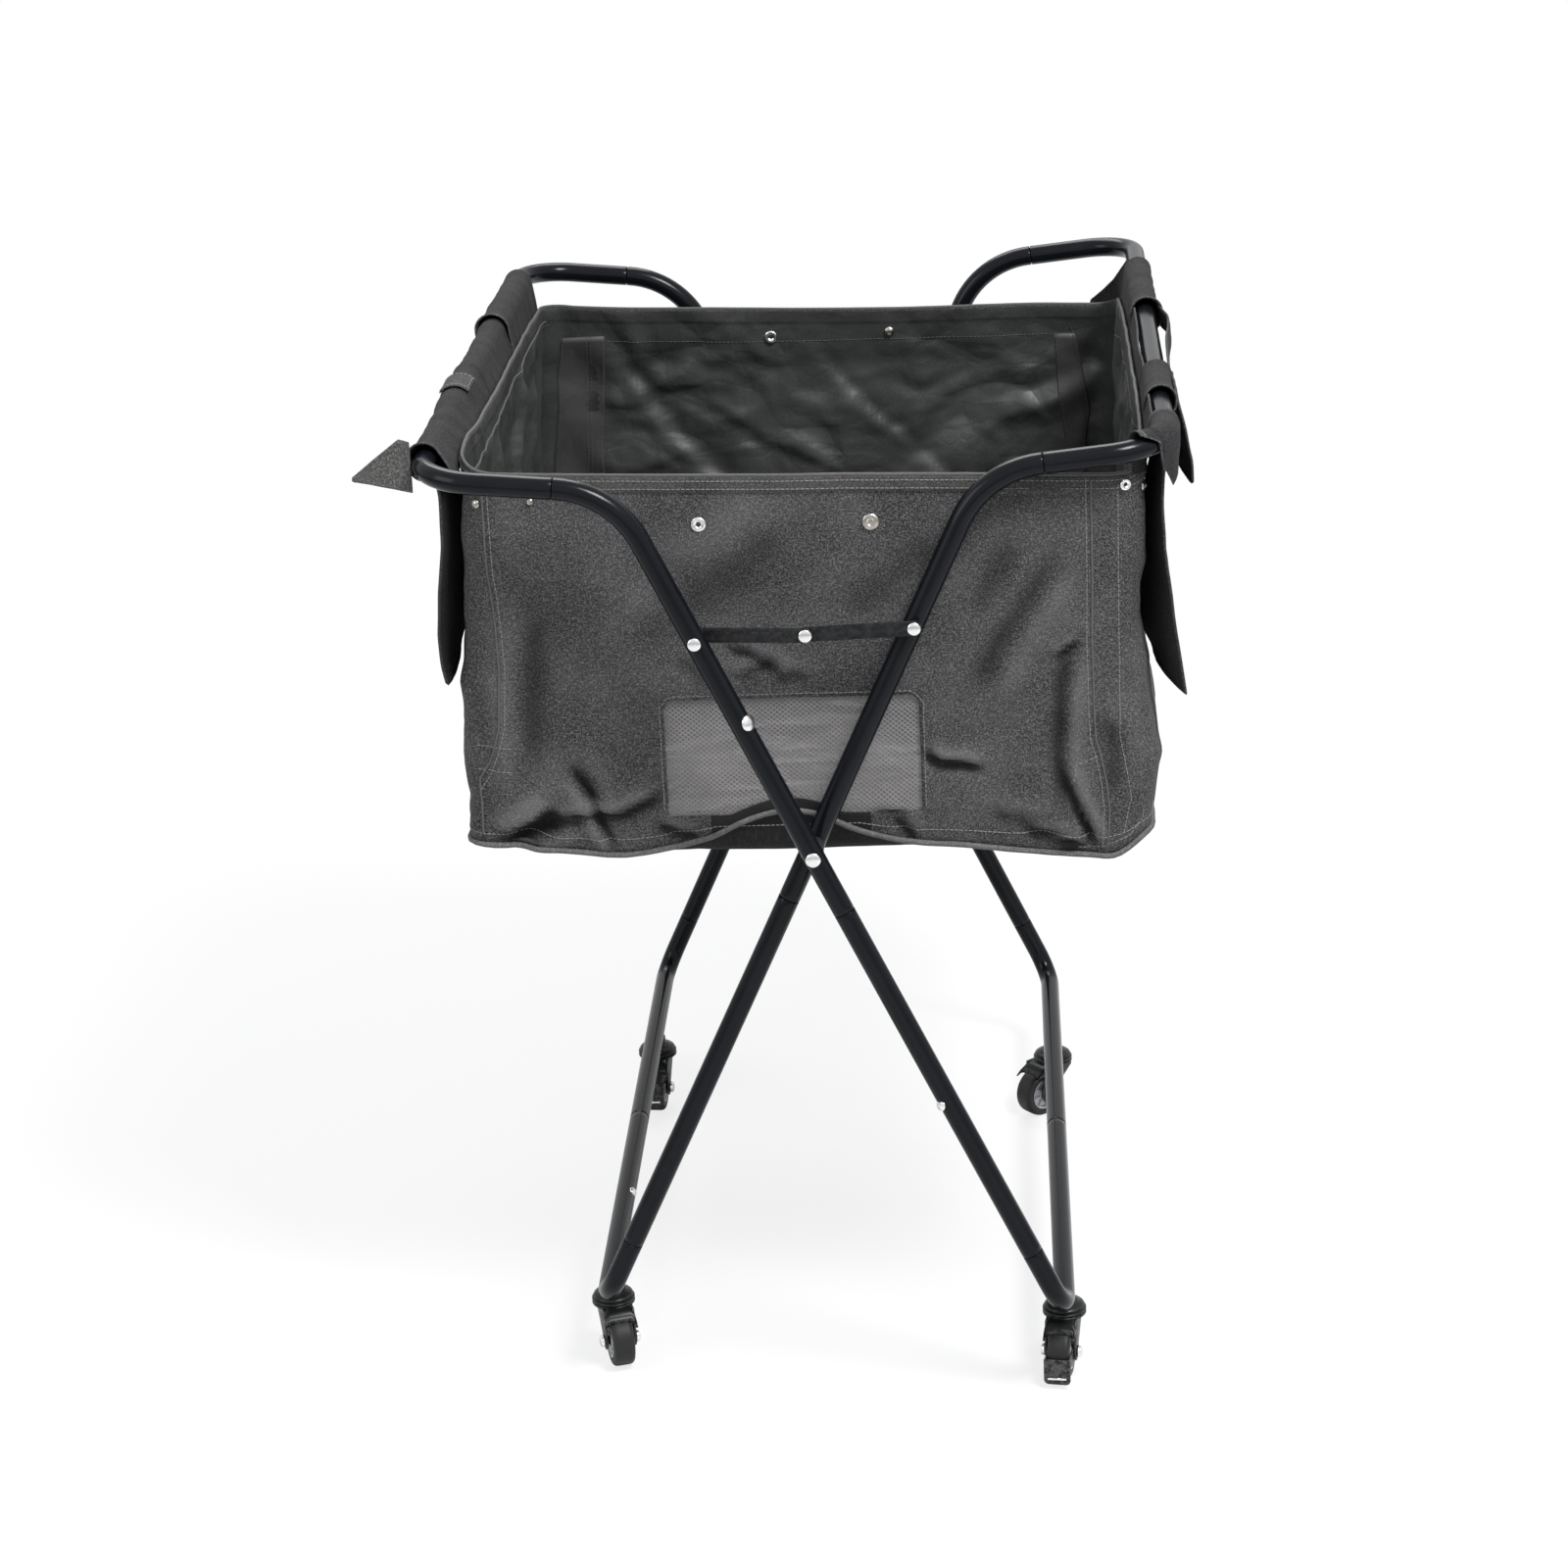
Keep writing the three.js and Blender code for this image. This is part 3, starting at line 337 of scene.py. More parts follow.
hardFinish("tubePaint", (0.003, 0.0035, 0.005), (0.006, 0.0075, 0.010), 0.2, grain=700.0, specular=0.14)
hardFinish("linkPaint", (0.006, 0.006, 0.007), (0.010, 0.011, 0.012), 0.5, worn=0.03, specular=0.14)
hardFinish("casterPaint", (0.005, 0.006, 0.006), (0.011, 0.012, 0.012), 0.32, worn=0.06, specular=0.2)
hardFinish("pedalPaint", 0.006, 0.013, 0.4, worn=0.08, specular=0.2)
zincWear = {"worn": (0.86, 0.86, 0.85), "wornRoughness": 0.2}
hardFinish("zinc", (0.60, 0.61, 0.61), (0.78, 0.78, 0.76), 0.26, metallic=1.0, bump=0.12, **zincWear)
rubberWear = {"worn": (0.05, 0.05, 0.048), "wornRoughness": 0.7}
hardFinish("treadRubber", 0.010, 0.020, 0.5, grain=1300.0, bump=0.25, specular=0.25, **rubberWear)
hardFinish("hubPlastic", (0.42, 0.43, 0.44), (0.55, 0.56, 0.57), 0.38, grain=600.0)
hardFinish("spacerPlastic", 0.012, 0.02, 0.5)
clothFinish("bagCloth", (0.014, 0.014, 0.0145), (0.190, 0.187, 0.190))
clothFinish("hemCloth", (0.030, 0.029, 0.028), (0.150, 0.147, 0.143), fleck=0.9)
clothFinish("cornerCloth", (0.050, 0.049, 0.048), (0.250, 0.246, 0.240), fleck=0.9)
clothFinish("pipingCloth", (0.075, 0.074, 0.072), (0.26, 0.256, 0.25), fleck=0.9)
# Darker copies of the strap cloth and its hem for the loose flaps: painted shade.
clothFinish("flapCloth", 0.007, 0.040)
clothFinish("flapEdge", (0.02, 0.02, 0.019), (0.09, 0.09, 0.085))
liningFinish("liningCoat", (0.012, 0.0125, 0.0125), (0.062, 0.064, 0.063), 0.42, 0.85)
# The bag's cloth made dark for the strip tucked under the window and for the underside: painted shade.
clothFinish("floorCloth", (0.008, 0.008, 0.009), (0.03, 0.03, 0.031), fleck=0.7)
hardFinish("netYarn", (0.15, 0.142, 0.146), (0.29, 0.277, 0.282), 0.7, 1500.0, 45.0, 0.3)
hardFinish("thread", (0.15, 0.15, 0.147), (0.26, 0.257, 0.253), 0.75, 1500.0, bump=0.3)
hardFinish("threadDark", 0.05, 0.10, 0.7, 1500.0, bump=0.3)
hardFinish("seamLight", (0.045, 0.044, 0.043), (0.12, 0.118, 0.116), 0.85, 1100.0, 420.0, 0.5)
hardFinish("seamEdge", (0.05, 0.049, 0.048), (0.12, 0.118, 0.116), 0.85, 1500.0, 300.0, 0.4)
liningFinish("liningBand", (0.030, 0.030, 0.031), 0.052, 0.5, 0.2)
nickelWear = {"worn": (0.7, 0.68, 0.62), "wornRoughness": 0.25}
hardFinish("agedNickel", (0.20, 0.19, 0.17), (0.42, 0.40, 0.36), 0.3, metallic=1.0, bump=0.1, **nickelWear)
clothFinish("strapEdge", 0.03, (0.15, 0.147, 0.145))
clothFinish("patchCloth", 0.03, (0.14, 0.138, 0.14))
clothFinish("strapCloth", (0.008, 0.008, 0.009), (0.050, 0.049, 0.051))
print("materials:", len(finishes))


# Mesh helpers. Every piece is made in place, in metres, with its object at the origin.
class Shape:
    # Vertices and faces of one piece. A face's mark is the place of its material in the piece.
    def __init__(self):
        self.vertices, self.faces, self.marks = [], [], []

    def add(self, vertices, faces, mark=0, flip=False):
        base = len(self.vertices)
        self.vertices += [tuple(vertex) for vertex in vertices]
        self.faces += [[base + index for index in face][:: -1 if flip else 1] for face in faces]
        self.marks += mark if isinstance(mark, list) else [mark] * len(faces)
        return self


def node(name):
    # frontLeftWheel to front_left_wheel.
    return "".join("_" + letter.lower() if letter.isupper() else letter for letter in name)


def dress(piece, body, shows):
    # The body that carries a piece, and the solid it shows: its own namesake or another.
    if body:
        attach(piece, body)
    if shows:
        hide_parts(node(piece.name) if shows is True else shows)
    if not body:
        # The bag hangs between the two rails, and its cloth turns from one frame to the other.
        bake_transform(piece)
    return piece


def addPiece(name, shape, materials, body, slot, shows=True, uv=None, fold=None, uvRound=0):
    mesh = bpy.data.meshes.new(name)
    mesh.from_pydata(shape.vertices, [], shape.faces)
    for material in materials.split():
        mesh.materials.append(finishes[material])
    mesh.polygons.foreach_set("material_index", np.asarray(shape.marks, np.int32))
    mesh.polygons.foreach_set("use_smooth", np.ones(len(mesh.polygons), bool))
    if uv is not None:
        layer = mesh.uv_layers.new(name="cloth")
        corners = np.empty(len(mesh.loops), np.int32)
        mesh.loops.foreach_get("vertex_index", corners)
        places = np.asarray(uv, float)[corners]
        if uvRound:
            # Where a face closes the way round, its low corners count from the far end.
            sizes = [len(face) for face in shape.faces]
            highest = np.maximum.reduceat(places[:, 0], np.cumsum([0] + sizes[:-1]))
            gap = np.repeat(highest, sizes) - places[:, 0]
            places[:, 0] += np.where(gap > uvRound / 2, uvRound, 0)
        layer.data.foreach_set("uv", places.ravel())
    if fold is not None:
        # The fold depth, from which the cloth materials paint shade in hollows and highlight on crests.
        values = mesh.attributes.new("fold", "FLOAT", "POINT").data
        values.foreach_set("value", np.asarray(fold, np.float32))
    mesh.validate()
    mesh.update()
    return dress(addObject(name, mesh), body, shows)


def loftFaces(rows, count, closed=False):
    # Quads between rows of places that go round; an open loft has a face at either end.
    faces = []
    for row in range(rows if closed else rows - 1):
        a, b = row * count, (row + 1) % rows * count
        for index in range(count):
            following = (index + 1) % count
            faces.append([a + index, a + following, b + following, b + index])
    if not closed:
        faces.append(list(range(count))[::-1])
        faces.append([(rows - 1) * count + index for index in range(count)])
    return faces


def arc(x, y, radius, start, stop, count, rise=None):
    # Points along a part of a circle, or of an ellipse with its own rise.
    rise = radius if rise is None else rise
    return [(x + radius * cos(a), y + rise * sin(a)) for a in np.linspace(start, stop, count)]


def circle(radius, sides):
    turns = [2 * pi * index / sides for index in range(sides)]
    return [(radius * cos(turn), radius * sin(turn)) for turn in turns]


def lathe(shape, profile, matrix, sides=48, mark=0, closed=False, flip=False):
    # Profile pairs are radius and height in millimetres; the axis is local Z of the matrix.
    places = [(r * u / 1000, r * v / 1000, h / 1000) for r, h in profile for u, v in circle(1, sides)]
    shape.add([matrix @ Vector(p) for p in places], loftFaces(len(profile), sides, closed), mark, flip)
    return shape


def axisMatrix(spot, axis):
    return Matrix.Translation(spot) @ Vector(axis).to_track_quat("Z", "Y").to_matrix().to_4x4()


def facing(origin, *axes):
    matrix = Matrix(axes).transposed().to_4x4()
    matrix.translation = origin
    return matrix


def capped(profile):
    # Ends a profile a hair off its axis, so that the pole closes with a small face.
    return [(max(radius, 0.02), height) for radius, height in profile]


# The two loops of tube. Sizes are millimetres; the side is -1 for the left frame and 1 for the right.
tube = {
    "radius": 9.5,
    "bore": 8.3,
    "sides": 30,
    "handleBend": 85,
    "railBend": 50,
    "footBend": 30,
    "neckRadius": 7.9,
    "neckBore": 6.9,
    "neckLength": 22,
    "seam": 0.35,  # half of the dark line between two sections
    "lip": 0.5,  # of the rolled edge beside that line
    "plane": 17,  # from the middle of a crossing to a leg's axis
    "railX": 308,
    "railZ": 878.38,
    "frontSplay": 11,  # of the left rail's front corner, pulled outwards
}
ends = {"front": -1, "rear": 1}  # of the cart, with the way that each faces
endY = 375


def bentRoute(points, bend, steps=14):
    # Corner points in millimetres to a route with round corners, in metres.
    route = [Vector(points[0])]
    for before, corner, after in zip(points, points[1:], points[2:]):
        a, b, c = Vector(before), Vector(corner), Vector(after)
        inward, outward = (b - a).normalized(), (c - b).normalized()
        turn = inward.angle(outward)
        side = (outward - inward * outward.dot(inward)).normalized()
        start = b - inward * (bend * tan(turn / 2))
        for angle in (turn * step / steps for step in range(steps + 1)):
            route.append(start + inward * bend * sin(angle) + side * bend * (1 - cos(angle)))
    return [at(*point) for point in route + [Vector(points[-1])]]


def routeRings(points, bend, straight=0.03, inset=0.006):
    corners = bentRoute(points, bend)
    route = corners[:1]
    for before, after in zip(corners, corners[1:]):
        # A ring near each end of a long straight keeps its shading straight.
        if (after - before).length > straight:
            step = (after - before).normalized() * inset
            route += [before + step, after - step]
        route.append(after)
    neighbours = zip(route[:1] + route[:-1], route[1:] + route[-1:])
    return route, [(after - before).normalized() for before, after in neighbours]


def endRings(spot, tangent, way, neck):
    # Rings round one end, from the outer wall in to the bore: way is 1 where the route ends.
    seam, lip, wide, bore, reach = (tube[key] for key in ("seam", "lip", "radius", "bore", "neckLength"))
    rings = [(-seam - lip, wide), (-seam - lip * 0.3, wide - lip * 0.3), (-seam, wide - lip)]
    if neck:
        outer, inner = tube["neckRadius"], tube["neckBore"]
        rings += [(-seam, outer), (reach - 1, outer), (reach, outer - 0.6), (reach, inner)]
        rings += [(-4, inner), (-4, bore)]
    else:
        rings += [(-seam, bore + 0.3), (-seam - 0.5, bore)]
    return [(spot + tangent * way * along / 1000, tangent, radius) for along, radius in rings]


def addTube(side, part, points, bend, necks):
    route, tangents = routeRings(points, bend)
    middle = list(zip(route, tangents))[1:-1]
    rings = [(*place, tube["radius"]) for place in middle]
    rings += endRings(route[-1], tangents[-1], 1, "last" in necks)
    rings += [(*place, tube["bore"]) for place in middle[::-1]]
    rings += endRings(route[0], tangents[0], -1, "first" in necks)[::-1]
    across = Vector((0.31, 0.21, 0.93)).cross(tangents[0]).normalized()
    vertices = []
    for point, tangent, radius in rings:
        across = (across - tangent * across.dot(tangent)).normalized()
        normal = tangent.cross(across)
        vertices += [point + (across * u + normal * v) * radius / 1000 for u, v in circle(1, tube["sides"])]
    shape = Shape().add(vertices, loftFaces(len(rings), tube["sides"], closed=True))
    body = f"{side}_frame"
    addPiece(side + part, shape, "tubePaint", body, "frame_tube", body + node(part))


joints = {
    # where lengths of tube meet or bend: across on the top rail's side, and up
    "handle": (204.63, 868.07),
    "shoulder": (153.88, 863),
    "pivot": (-24.51, 480.43),
    "foot": (-180.59, 145.72),
    "bottomRail": (-208.906, 85),
}


def addLoop(name, side):
    shift = tube["plane"] * side

    def joint(place, y):
        return (side * joints[place][0], y, joints[place][1])

    rail = []
    for end, out in ends.items():
        y, splay = endY * out + shift, tube["frontSplay"] if (side, out) == (-1, -1) else 0
        corner = (side * (tube["railX"] + splay), y, tube["railZ"])
        rail += [joint("handle", y), corner][::-out]
    addTube(name, "TopRail", rail, tube["railBend"], "")
    for end, out in ends.items():
        y, title = endY * out + shift, end.capitalize()
        upper = [joint(place, y) for place in ("pivot", "shoulder", "handle")]
        addTube(name, title + "UpperLeg", upper, tube["handleBend"], "last")
        addTube(name, title + "LowerLeg", [joint("foot", y), joint("pivot", y)], 0, "last")
        foot = [joint("bottomRail", shift), joint("bottomRail", y), joint("foot", y)]
        necks = "first last" if end == "front" else "last"
        addTube(name, title + "Foot", foot, tube["footBend"], necks)


addLoop("left", -1)
addLoop("right", 1)
print("frame: two loops of tube")


# Turned pins and rivets.
def domed(radius, height, base):
    # A rivet head from its flat seat to its crown; a negative height faces the other way.
    rim, turns = 0.35, (pi / 2 * step / 7 for step in range(1, 8))
    crown = [(radius * cos(a), base + height * (rim + (1 - rim) * sin(a))) for a in turns]
    return [(radius, base), (radius, base + height * rim)] + crown


pivotPin = {"pin": 4, "head": 6.6, "height": 3.2, "z": 533, "bore": 4.3, "spacer": 8.5}
linkPin = {"pin": 3, "head": 5.8, "height": 2.6, "collar": 5, "tail": 1.6, "seat": 9.8}
touch = 0.3  # left between pieces that touch


def turnedPiece(name, profile, spot, axis, body):
    shape = lathe(Shape(), capped(profile), axisMatrix(at(*spot), axis), 40)
    addPiece(name, shape, "zinc", body, "rivet_steel")


def addCrossing(end, out):
    spot, axis = (0, endY * out, pivotPin["z"]), (0, 1, 0)
    seat = tube["plane"] + tube["radius"] + touch
    head, height, pin = pivotPin["head"], pivotPin["height"], pivotPin["pin"]
    profile = domed(head, -height, -seat)[::-1] + [(pin, -seat), (pin, seat)] + domed(head, height, seat)
    turnedPiece(f"{end}PivotRivet", profile, spot, axis, "left_frame")
    half = tube["plane"] - tube["radius"] - touch
    bore, wide = pivotPin["bore"], pivotPin["spacer"]
    ring = [(bore, -half), (wide - 0.4, -half), (wide, -half + 0.5)]
    ring += [(wide, half - 0.5), (wide - 0.4, half), (bore, half)]
    shape = lathe(Shape(), ring, axisMatrix(at(*spot), axis), 40, closed=True)
    addPiece(f"{end}PivotSpacer", shape, "spacerPlastic", "left_frame", "spacer")


for endName, endWay in ends.items():
    addCrossing(endName, endWay)


# Flat steel cut from a curve: an outline, its holes and a small bevel along every edge.
def cutPlate(shape, outline, holes, thickness, bevel, matrix, mark=0):
    curve = bpy.data.curves.new("blank", "CURVE")
    curve.dimensions, curve.fill_mode = "2D", "BOTH"
    curve.extrude, curve.bevel_depth = thickness / 2 - bevel, bevel
    curve.bevel_resolution, curve.offset = 1, -bevel
    for points in [outline] + [[(x + u, y + v) for u, v in circle(radius, 24)] for x, y, radius in holes]:
        spline = curve.splines.new("POLY")
        spline.points.add(len(points) - 1)
        spline.points.foreach_set("co", [part for x, y in points for part in (x, y, 0, 1)])
        spline.use_cyclic_u = True
    holder = bpy.data.objects.new("blank", curve)
    mesh = bpy.data.meshes.new_from_object(holder)
    welded = bmesh.new()
    welded.from_mesh(mesh)
    bmesh.ops.remove_doubles(welded, verts=welded.verts, dist=0.004)
    bmesh.ops.recalc_face_normals(welded, faces=welded.faces)
    welded.verts.index_update()
    vertices = [matrix @ (vertex.co / 1000) for vertex in welded.verts]
    shape.add(vertices, [[vertex.index for vertex in face.verts] for face in welded.faces], mark)
    welded.free()
    bpy.data.objects.remove(holder)
    bpy.data.curves.remove(curve)
    bpy.data.meshes.remove(mesh)


linkBar = {
    "length": 92.38,
    "width": 13,
    "thickness": 2.5,
    "bevel": 0.35,
    "hole": 3.2,
    "x": 92.33,  # of the pin through the leg
    "z": 731,
    "drop": 3,  # of the middle pin below it
}
middleZ = linkBar["z"] - linkBar["drop"]
halfGap = 0.15  # between an end's middle plane and the bar on either side of it


def addLink(end, side, out, title):
    # The outer link of an end lies on the side away from the bag, over the inner one.
    outer = side == out
    slope = atan2(linkBar["drop"], linkBar["x"])
    along, outward = Vector((-side * cos(slope), 0, -sin(slope))), Vector((0, out, 0))
    offset = (halfGap + linkBar["thickness"] / 2) * (1 if outer else -1)
    origin = at(side * linkBar["x"], endY * out, linkBar["z"]) + outward * offset / 1000
    places = [0, linkBar["length"]] if outer else [0]
    half = linkBar["width"] / 2
    outline = arc(0, 0, half, pi / 2, 3 * pi / 2, 14) + arc(linkBar["length"], 0, half, -pi / 2, pi / 2, 14)
    matrix = facing(origin, along, outward.cross(along), outward)
    shape = Shape()
    holes = [(x, 0, linkBar["hole"]) for x in places]
    cutPlate(shape, outline, holes, linkBar["thickness"], linkBar["bevel"], matrix)
    if not outer:
        tail = [(linkPin["head"] - 1, 1.6)] + domed(linkPin["head"], linkPin["tail"], 2.4)
        lathe(shape, capped(tail), axisMatrix(at(0, endY * out, middleZ), -outward), 36, 1)
    addPiece(f"{end}{title}Link", shape, "linkPaint zinc", f"{end}_{title.lower()}_link", "link_bar")


def addLinkRivet(end, side, out, title):
    # The pin through a leg, with a collar in the gap and a tail over the link.
    outer = side == out
    pin, seat = linkPin["pin"], linkPin["seat"]
    linkEnd = tube["plane"] - halfGap
    collarEnd = linkEnd - linkBar["thickness"] - touch
    head, tail = (linkPin["height"], linkPin["tail"])[:: 1 if outer else -1]
    collar, wide = linkPin["collar"], linkPin["head"]
    profile = domed(wide, -head, -seat)[::-1] + [(pin, -seat), (pin, seat), (collar, seat)]
    profile += [(collar, collarEnd), (pin, collarEnd), (pin, linkEnd + touch)]
    profile += domed(collar if outer else wide, tail, linkEnd + touch)
    spot = (side * linkBar["x"], endY * out + tube["plane"] * side, linkBar["z"])
    # From outside, the leg that stands further out carries the outer link behind it.
    turnedPiece(f"{end}{title}LinkRivet", profile, spot, (0, -side, 0), title.lower() + "_frame")


for endName, endWay in ends.items():
    for sideWay, sideTitle in ((-1, "Left"), (1, "Right")):
        addLink(endName, sideWay, endWay, sideTitle)
        addLinkRivet(endName, sideWay, endWay, sideTitle)
for (endName, endWay), rider in zip(ends.items(), ("front_left_link", "rear_right_link")):
    pinSize, pinSeat = linkPin["pin"], 2.95  # just over the outer bar
    pinProfile = [(0, halfGap), (pinSize, halfGap), (pinSize, pinSeat)]
    pinProfile += domed(linkPin["head"], linkPin["height"], pinSeat)
    turnedPiece(f"{endName}MiddleLinkRivet", pinProfile, (0, endY * endWay, middleZ), (0, endWay, 0), rider)
print("links and rivets")


# The casters. Each turns about its own upright pin, and the wheel trails behind that pin.
casters = {
    # spot, turn, frame that holds it, and how far the pedal is raised
    "frontLeft": ((-208.906, -301), 17, "right_frame", None),
    "frontRight": ((208.906, -335), -10, "left_frame", 0),
    "rearLeft": ((-208.906, 240), -4, "right_frame", 20),
    "rearRight": ((208.906, 206), -48, "left_frame", None),
}
caster = {
    "axle": (0, -20, 25),  # of the wheel, from the pin at the floor
    "wheelHalf": 10,
    "hub": 16.6,
    "cheek": (12.4, 14.4),
    "arm": (10.5, 11.9),
    "nut": 14.7,
    "tabReach": 29,
    "tabWall": 2.2,
}


def placed(spot, turn, lift=(0, 0, 0), tilt=0.0):
    # Local millimetres of one caster to the cart: turned about Z, then tilted about the axle.
    spin = Matrix.Rotation(radians(turn), 4, "Z")
    move = Matrix.Translation(Vector(lift) / 1000)
    return Matrix.Translation(at(*spot, 0)) @ spin @ move @ Matrix.Rotation(radians(-tilt), 4, "X")


def upright(x):
    # Axes of a plate that stands in the wheel's plane, its face towards the given side.
    return facing(Vector((x / 1000, 0, 0)), (0, 1, 0), (0, 0, 1), (1, 0, 0))


def rounded(profile, cut, steps=3):
    # Softens the corners of a turned profile, so that edges catch the light.
    out = [profile[0]]
    for before, corner, after in zip(profile, profile[1:], profile[2:]):
        a, b, c = (np.array(p, float) for p in (before, corner, after))
        before, after = np.linalg.norm(a - b), np.linalg.norm(c - b)
        reach = min(cut, before * 0.45, after * 0.45)
        start, end = b + (a - b) / before * reach, b + (c - b) / after * reach
        for t in (step / steps for step in range(steps + 1)):
            out.append(tuple((1 - t) ** 2 * start + 2 * t * (1 - t) * b + t**2 * end))
    return out + [profile[-1]]


def addMount(name, spot, turn, steel):
    profile = [
        (0.02, 51.1), (5.6, 51.1), (6.5, 52.0), (6.5, 53.7), (4, 53.7), (4, 57.6), (18.6, 57.6),
        (20, 58.4), (20, 59.6), (18.4, 60.4), (17.2, 60.9), (18.2, 61.7), (18.4, 62.6), (17.0, 63.9),
        (14.2, 65.2), (12.2, 66.6), (9.6, 67.4), (9, 68.4), (9, 73.4), (8.3, 75.2), (4, 75.2),
        (4, 86), (3.2, 87.2), (0.02, 87.2),
    ]
    shape = lathe(Shape(), rounded(profile, 0.5), placed(spot, turn), 44)
    addPiece(f"{name}CasterMount", shape, "casterPaint", steel, "caster_steel")


def addFork(name, spot, turn):
    base = placed(spot, turn)
    ring = [(4.4, 54), (18.8, 54), (20, 54.8), (20, 56), (19, 57), (4.4, 57)]
    shape = lathe(Shape(), ring, base, 44, closed=True)
    _, trail, high = caster["axle"]
    cheek = [(13.2, 50.5), (13.2, 56.2), (-24.4, 56.2), (-28.2, 30)]
    cheek += arc(trail, high, 8.5, radians(188), radians(352), 16) + [(-10.4, 28.5)]
    inner, outer = caster["cheek"]
    for x in (-(inner + outer) / 2, (inner + outer) / 2):
        cutPlate(shape, cheek, [(trail, high, 4.2)], outer - inner, 0.45, base @ upright(x))
    # The hood over the wheel joins the cheeks behind the swivel.
    arch = []
    for reach, bend, top, order in ((outer, 5, 0, 1), (inner, 3, -2, -1)):
        half = [(reach, -9), (reach, top - bend)]
        half += arc(reach - bend, top - bend, bend, 0, pi / 2, 6)[1:]
        arch += (half + [(-x, z) for x, z in half[::-1]])[::order]
    spine = [(-8, 56.6), (-14, 56.6), (-20, 56.3), (-25, 54.6), (-28.6, 51.2), (-30.4, 47.0)]
    rows = []
    for (y, z), (y0, z0), (y1, z1) in zip(spine, spine[:1] + spine, spine[1:] + spine[-1:]):
        lean = atan2(z0 - z1, y0 - y1)
        places = [(x, y + depth * sin(lean), z + depth * cos(lean)) for x, depth in arch]
        rows += [base @ Vector([part / 1000 for part in place]) for place in places]
    shape.add(rows, loftFaces(len(spine), len(arch)), flip=True)
    body = node(name) + "_caster"
    addPiece(f"{name}Fork", shape, "casterPaint", body, "caster_steel", body + "_fork")


def addWheel(name, spot, turn, sides=56):
    base = placed(spot, turn, caster["axle"])
    half, hub = caster["wheelHalf"], caster["hub"]
    side = [
        (4.3, 0), (7.2, 0), (7.8, 0.5), (7.8, 2.4), (8.4, 2.8), (hub - 2.2, 2.8), (hub - 1.6, 2.4),
        (hub - 1.4, 0.4), (hub - 1.0, 0), (hub, 0), (hub + 0.3, 0.5), (hub + 0.7, 0.5), (hub + 1.0, 0),
        (21.4, 0), (22.6, 0.35), (23.7, 1.1), (24.5, 2.2), (24.9, 3.6), (25, 5.4),
    ]
    profile = [(radius, depth - half) for radius, depth in side]
    profile += [(radius, half - depth) for radius, depth in side[::-1]]
    isHub = [radius <= hub + 0.05 for radius, _ in profile]
    marks = [int(a and b) for a, b in zip(isHub, isHub[1:] + isHub[:1]) for _ in range(sides)]
    shape = lathe(Shape(), profile, base @ upright(0), sides, marks, closed=True, flip=True)
    box = [[0, 1, 3, 2], [2, 3, 5, 4], [4, 5, 7, 6], [6, 7, 1, 0], [0, 2, 4, 6], [1, 7, 5, 3]]
    # Ribs on both faces of the hub: places out from the axle, half widths, and heights.
    ribEdges = [(7.4, 1.0, 6.6), (15.6, 0.8, 6.6), (15.6, 0.5, 9.3), (7.4, 0.7, 9.3)]
    for face in (-1, 1):
        for rib in range(8):
            angle = 2 * pi * rib / 8 + 0.2
            outwards = Vector((0, cos(angle), sin(angle)))
            across = Vector((face, 0, 0)).cross(outwards)
            corners = []
            for along, width, height in ribEdges:
                for sign in (-1, 1):
                    corner = outwards * along + across * width * sign + Vector((face * height, 0, 0))
                    corners.append(base @ (corner / 1000))
            shape.add(corners, box, 1, flip=True)
    addPiece(f"{name}Wheel", shape, "treadRubber hubPlastic", node(name) + "_wheel", "wheel_tread")


def addAxle(name, spot, turn):
    base = placed(spot, turn, caster["axle"]) @ Matrix.Rotation(pi / 2, 4, "Y")
    seat = caster["nut"]
    dome = domed(5.2, 2.2, seat + 2.2)
    profile = [(r, -h) for r, h in dome[::-1]] + [(5.2, -seat), (3.9, -seat), (3.9, seat), (5.2, seat)] + dome
    shape = lathe(Shape(), capped(profile), base, 32)
    for end in (-1, 1):
        nut = [(5.6, seat), (6.3, seat + 0.4), (6.3, seat + 2.0), (5.6, seat + 2.4)][::end]
        lathe(shape, [(radius, end * height) for radius, height in nut], base, 6)
    addPiece(f"{name}Axle", shape, "zinc", node(name) + "_caster", "rivet_steel")


def addBrake(name, spot, turn, raised):
    shape = Shape()
    base = placed(spot, turn, caster["axle"], raised)
    inner, outer = caster["arm"]
    back, wall = caster["tabWall"] / 2 - caster["tabReach"], caster["tabWall"]
    arm = arc(0, 0, 7.6, -0.75 * pi, 0.75 * pi, 26) + [(back, 5), (back, -5)]
    for x in (-(inner + outer) / 2, (inner + outer) / 2):
        cutPlate(shape, arm, [(0, 0, 4.3)], outer - inner, 0.25, base @ upright(x))
    # The tab stands across the arms, and a strip of bare spring steel shows on it.
    tab = base @ facing(Vector((0, back / 1000, 0)), (1, 0, 0), (0, 0, 1), (0, -1, 0))
    half, low, high, cut = outer + 0.3, -20, 5, 4.5
    outline = [(-half, high), (-half, low + cut)] + arc(-half + cut, low + cut, cut, pi, 1.5 * pi, 5)[1:]
    outline += arc(half - cut, low + cut, cut, 1.5 * pi, 2 * pi, 5) + [(half, high)]
    cutPlate(shape, outline, [], wall, 0.6, tab)
    strip = [(-8.5, -15.2), (8.5, -14.6), (8.5, -12.9), (-8.5, -13.5)]
    cutPlate(shape, strip, [], 0.7, 0.2, tab @ Matrix.Translation((0, 0, wall / 2000)), 1)
    addPiece(f"{name}Brake", shape, "pedalPaint zinc", node(name) + "_brake", "brake_pedal")


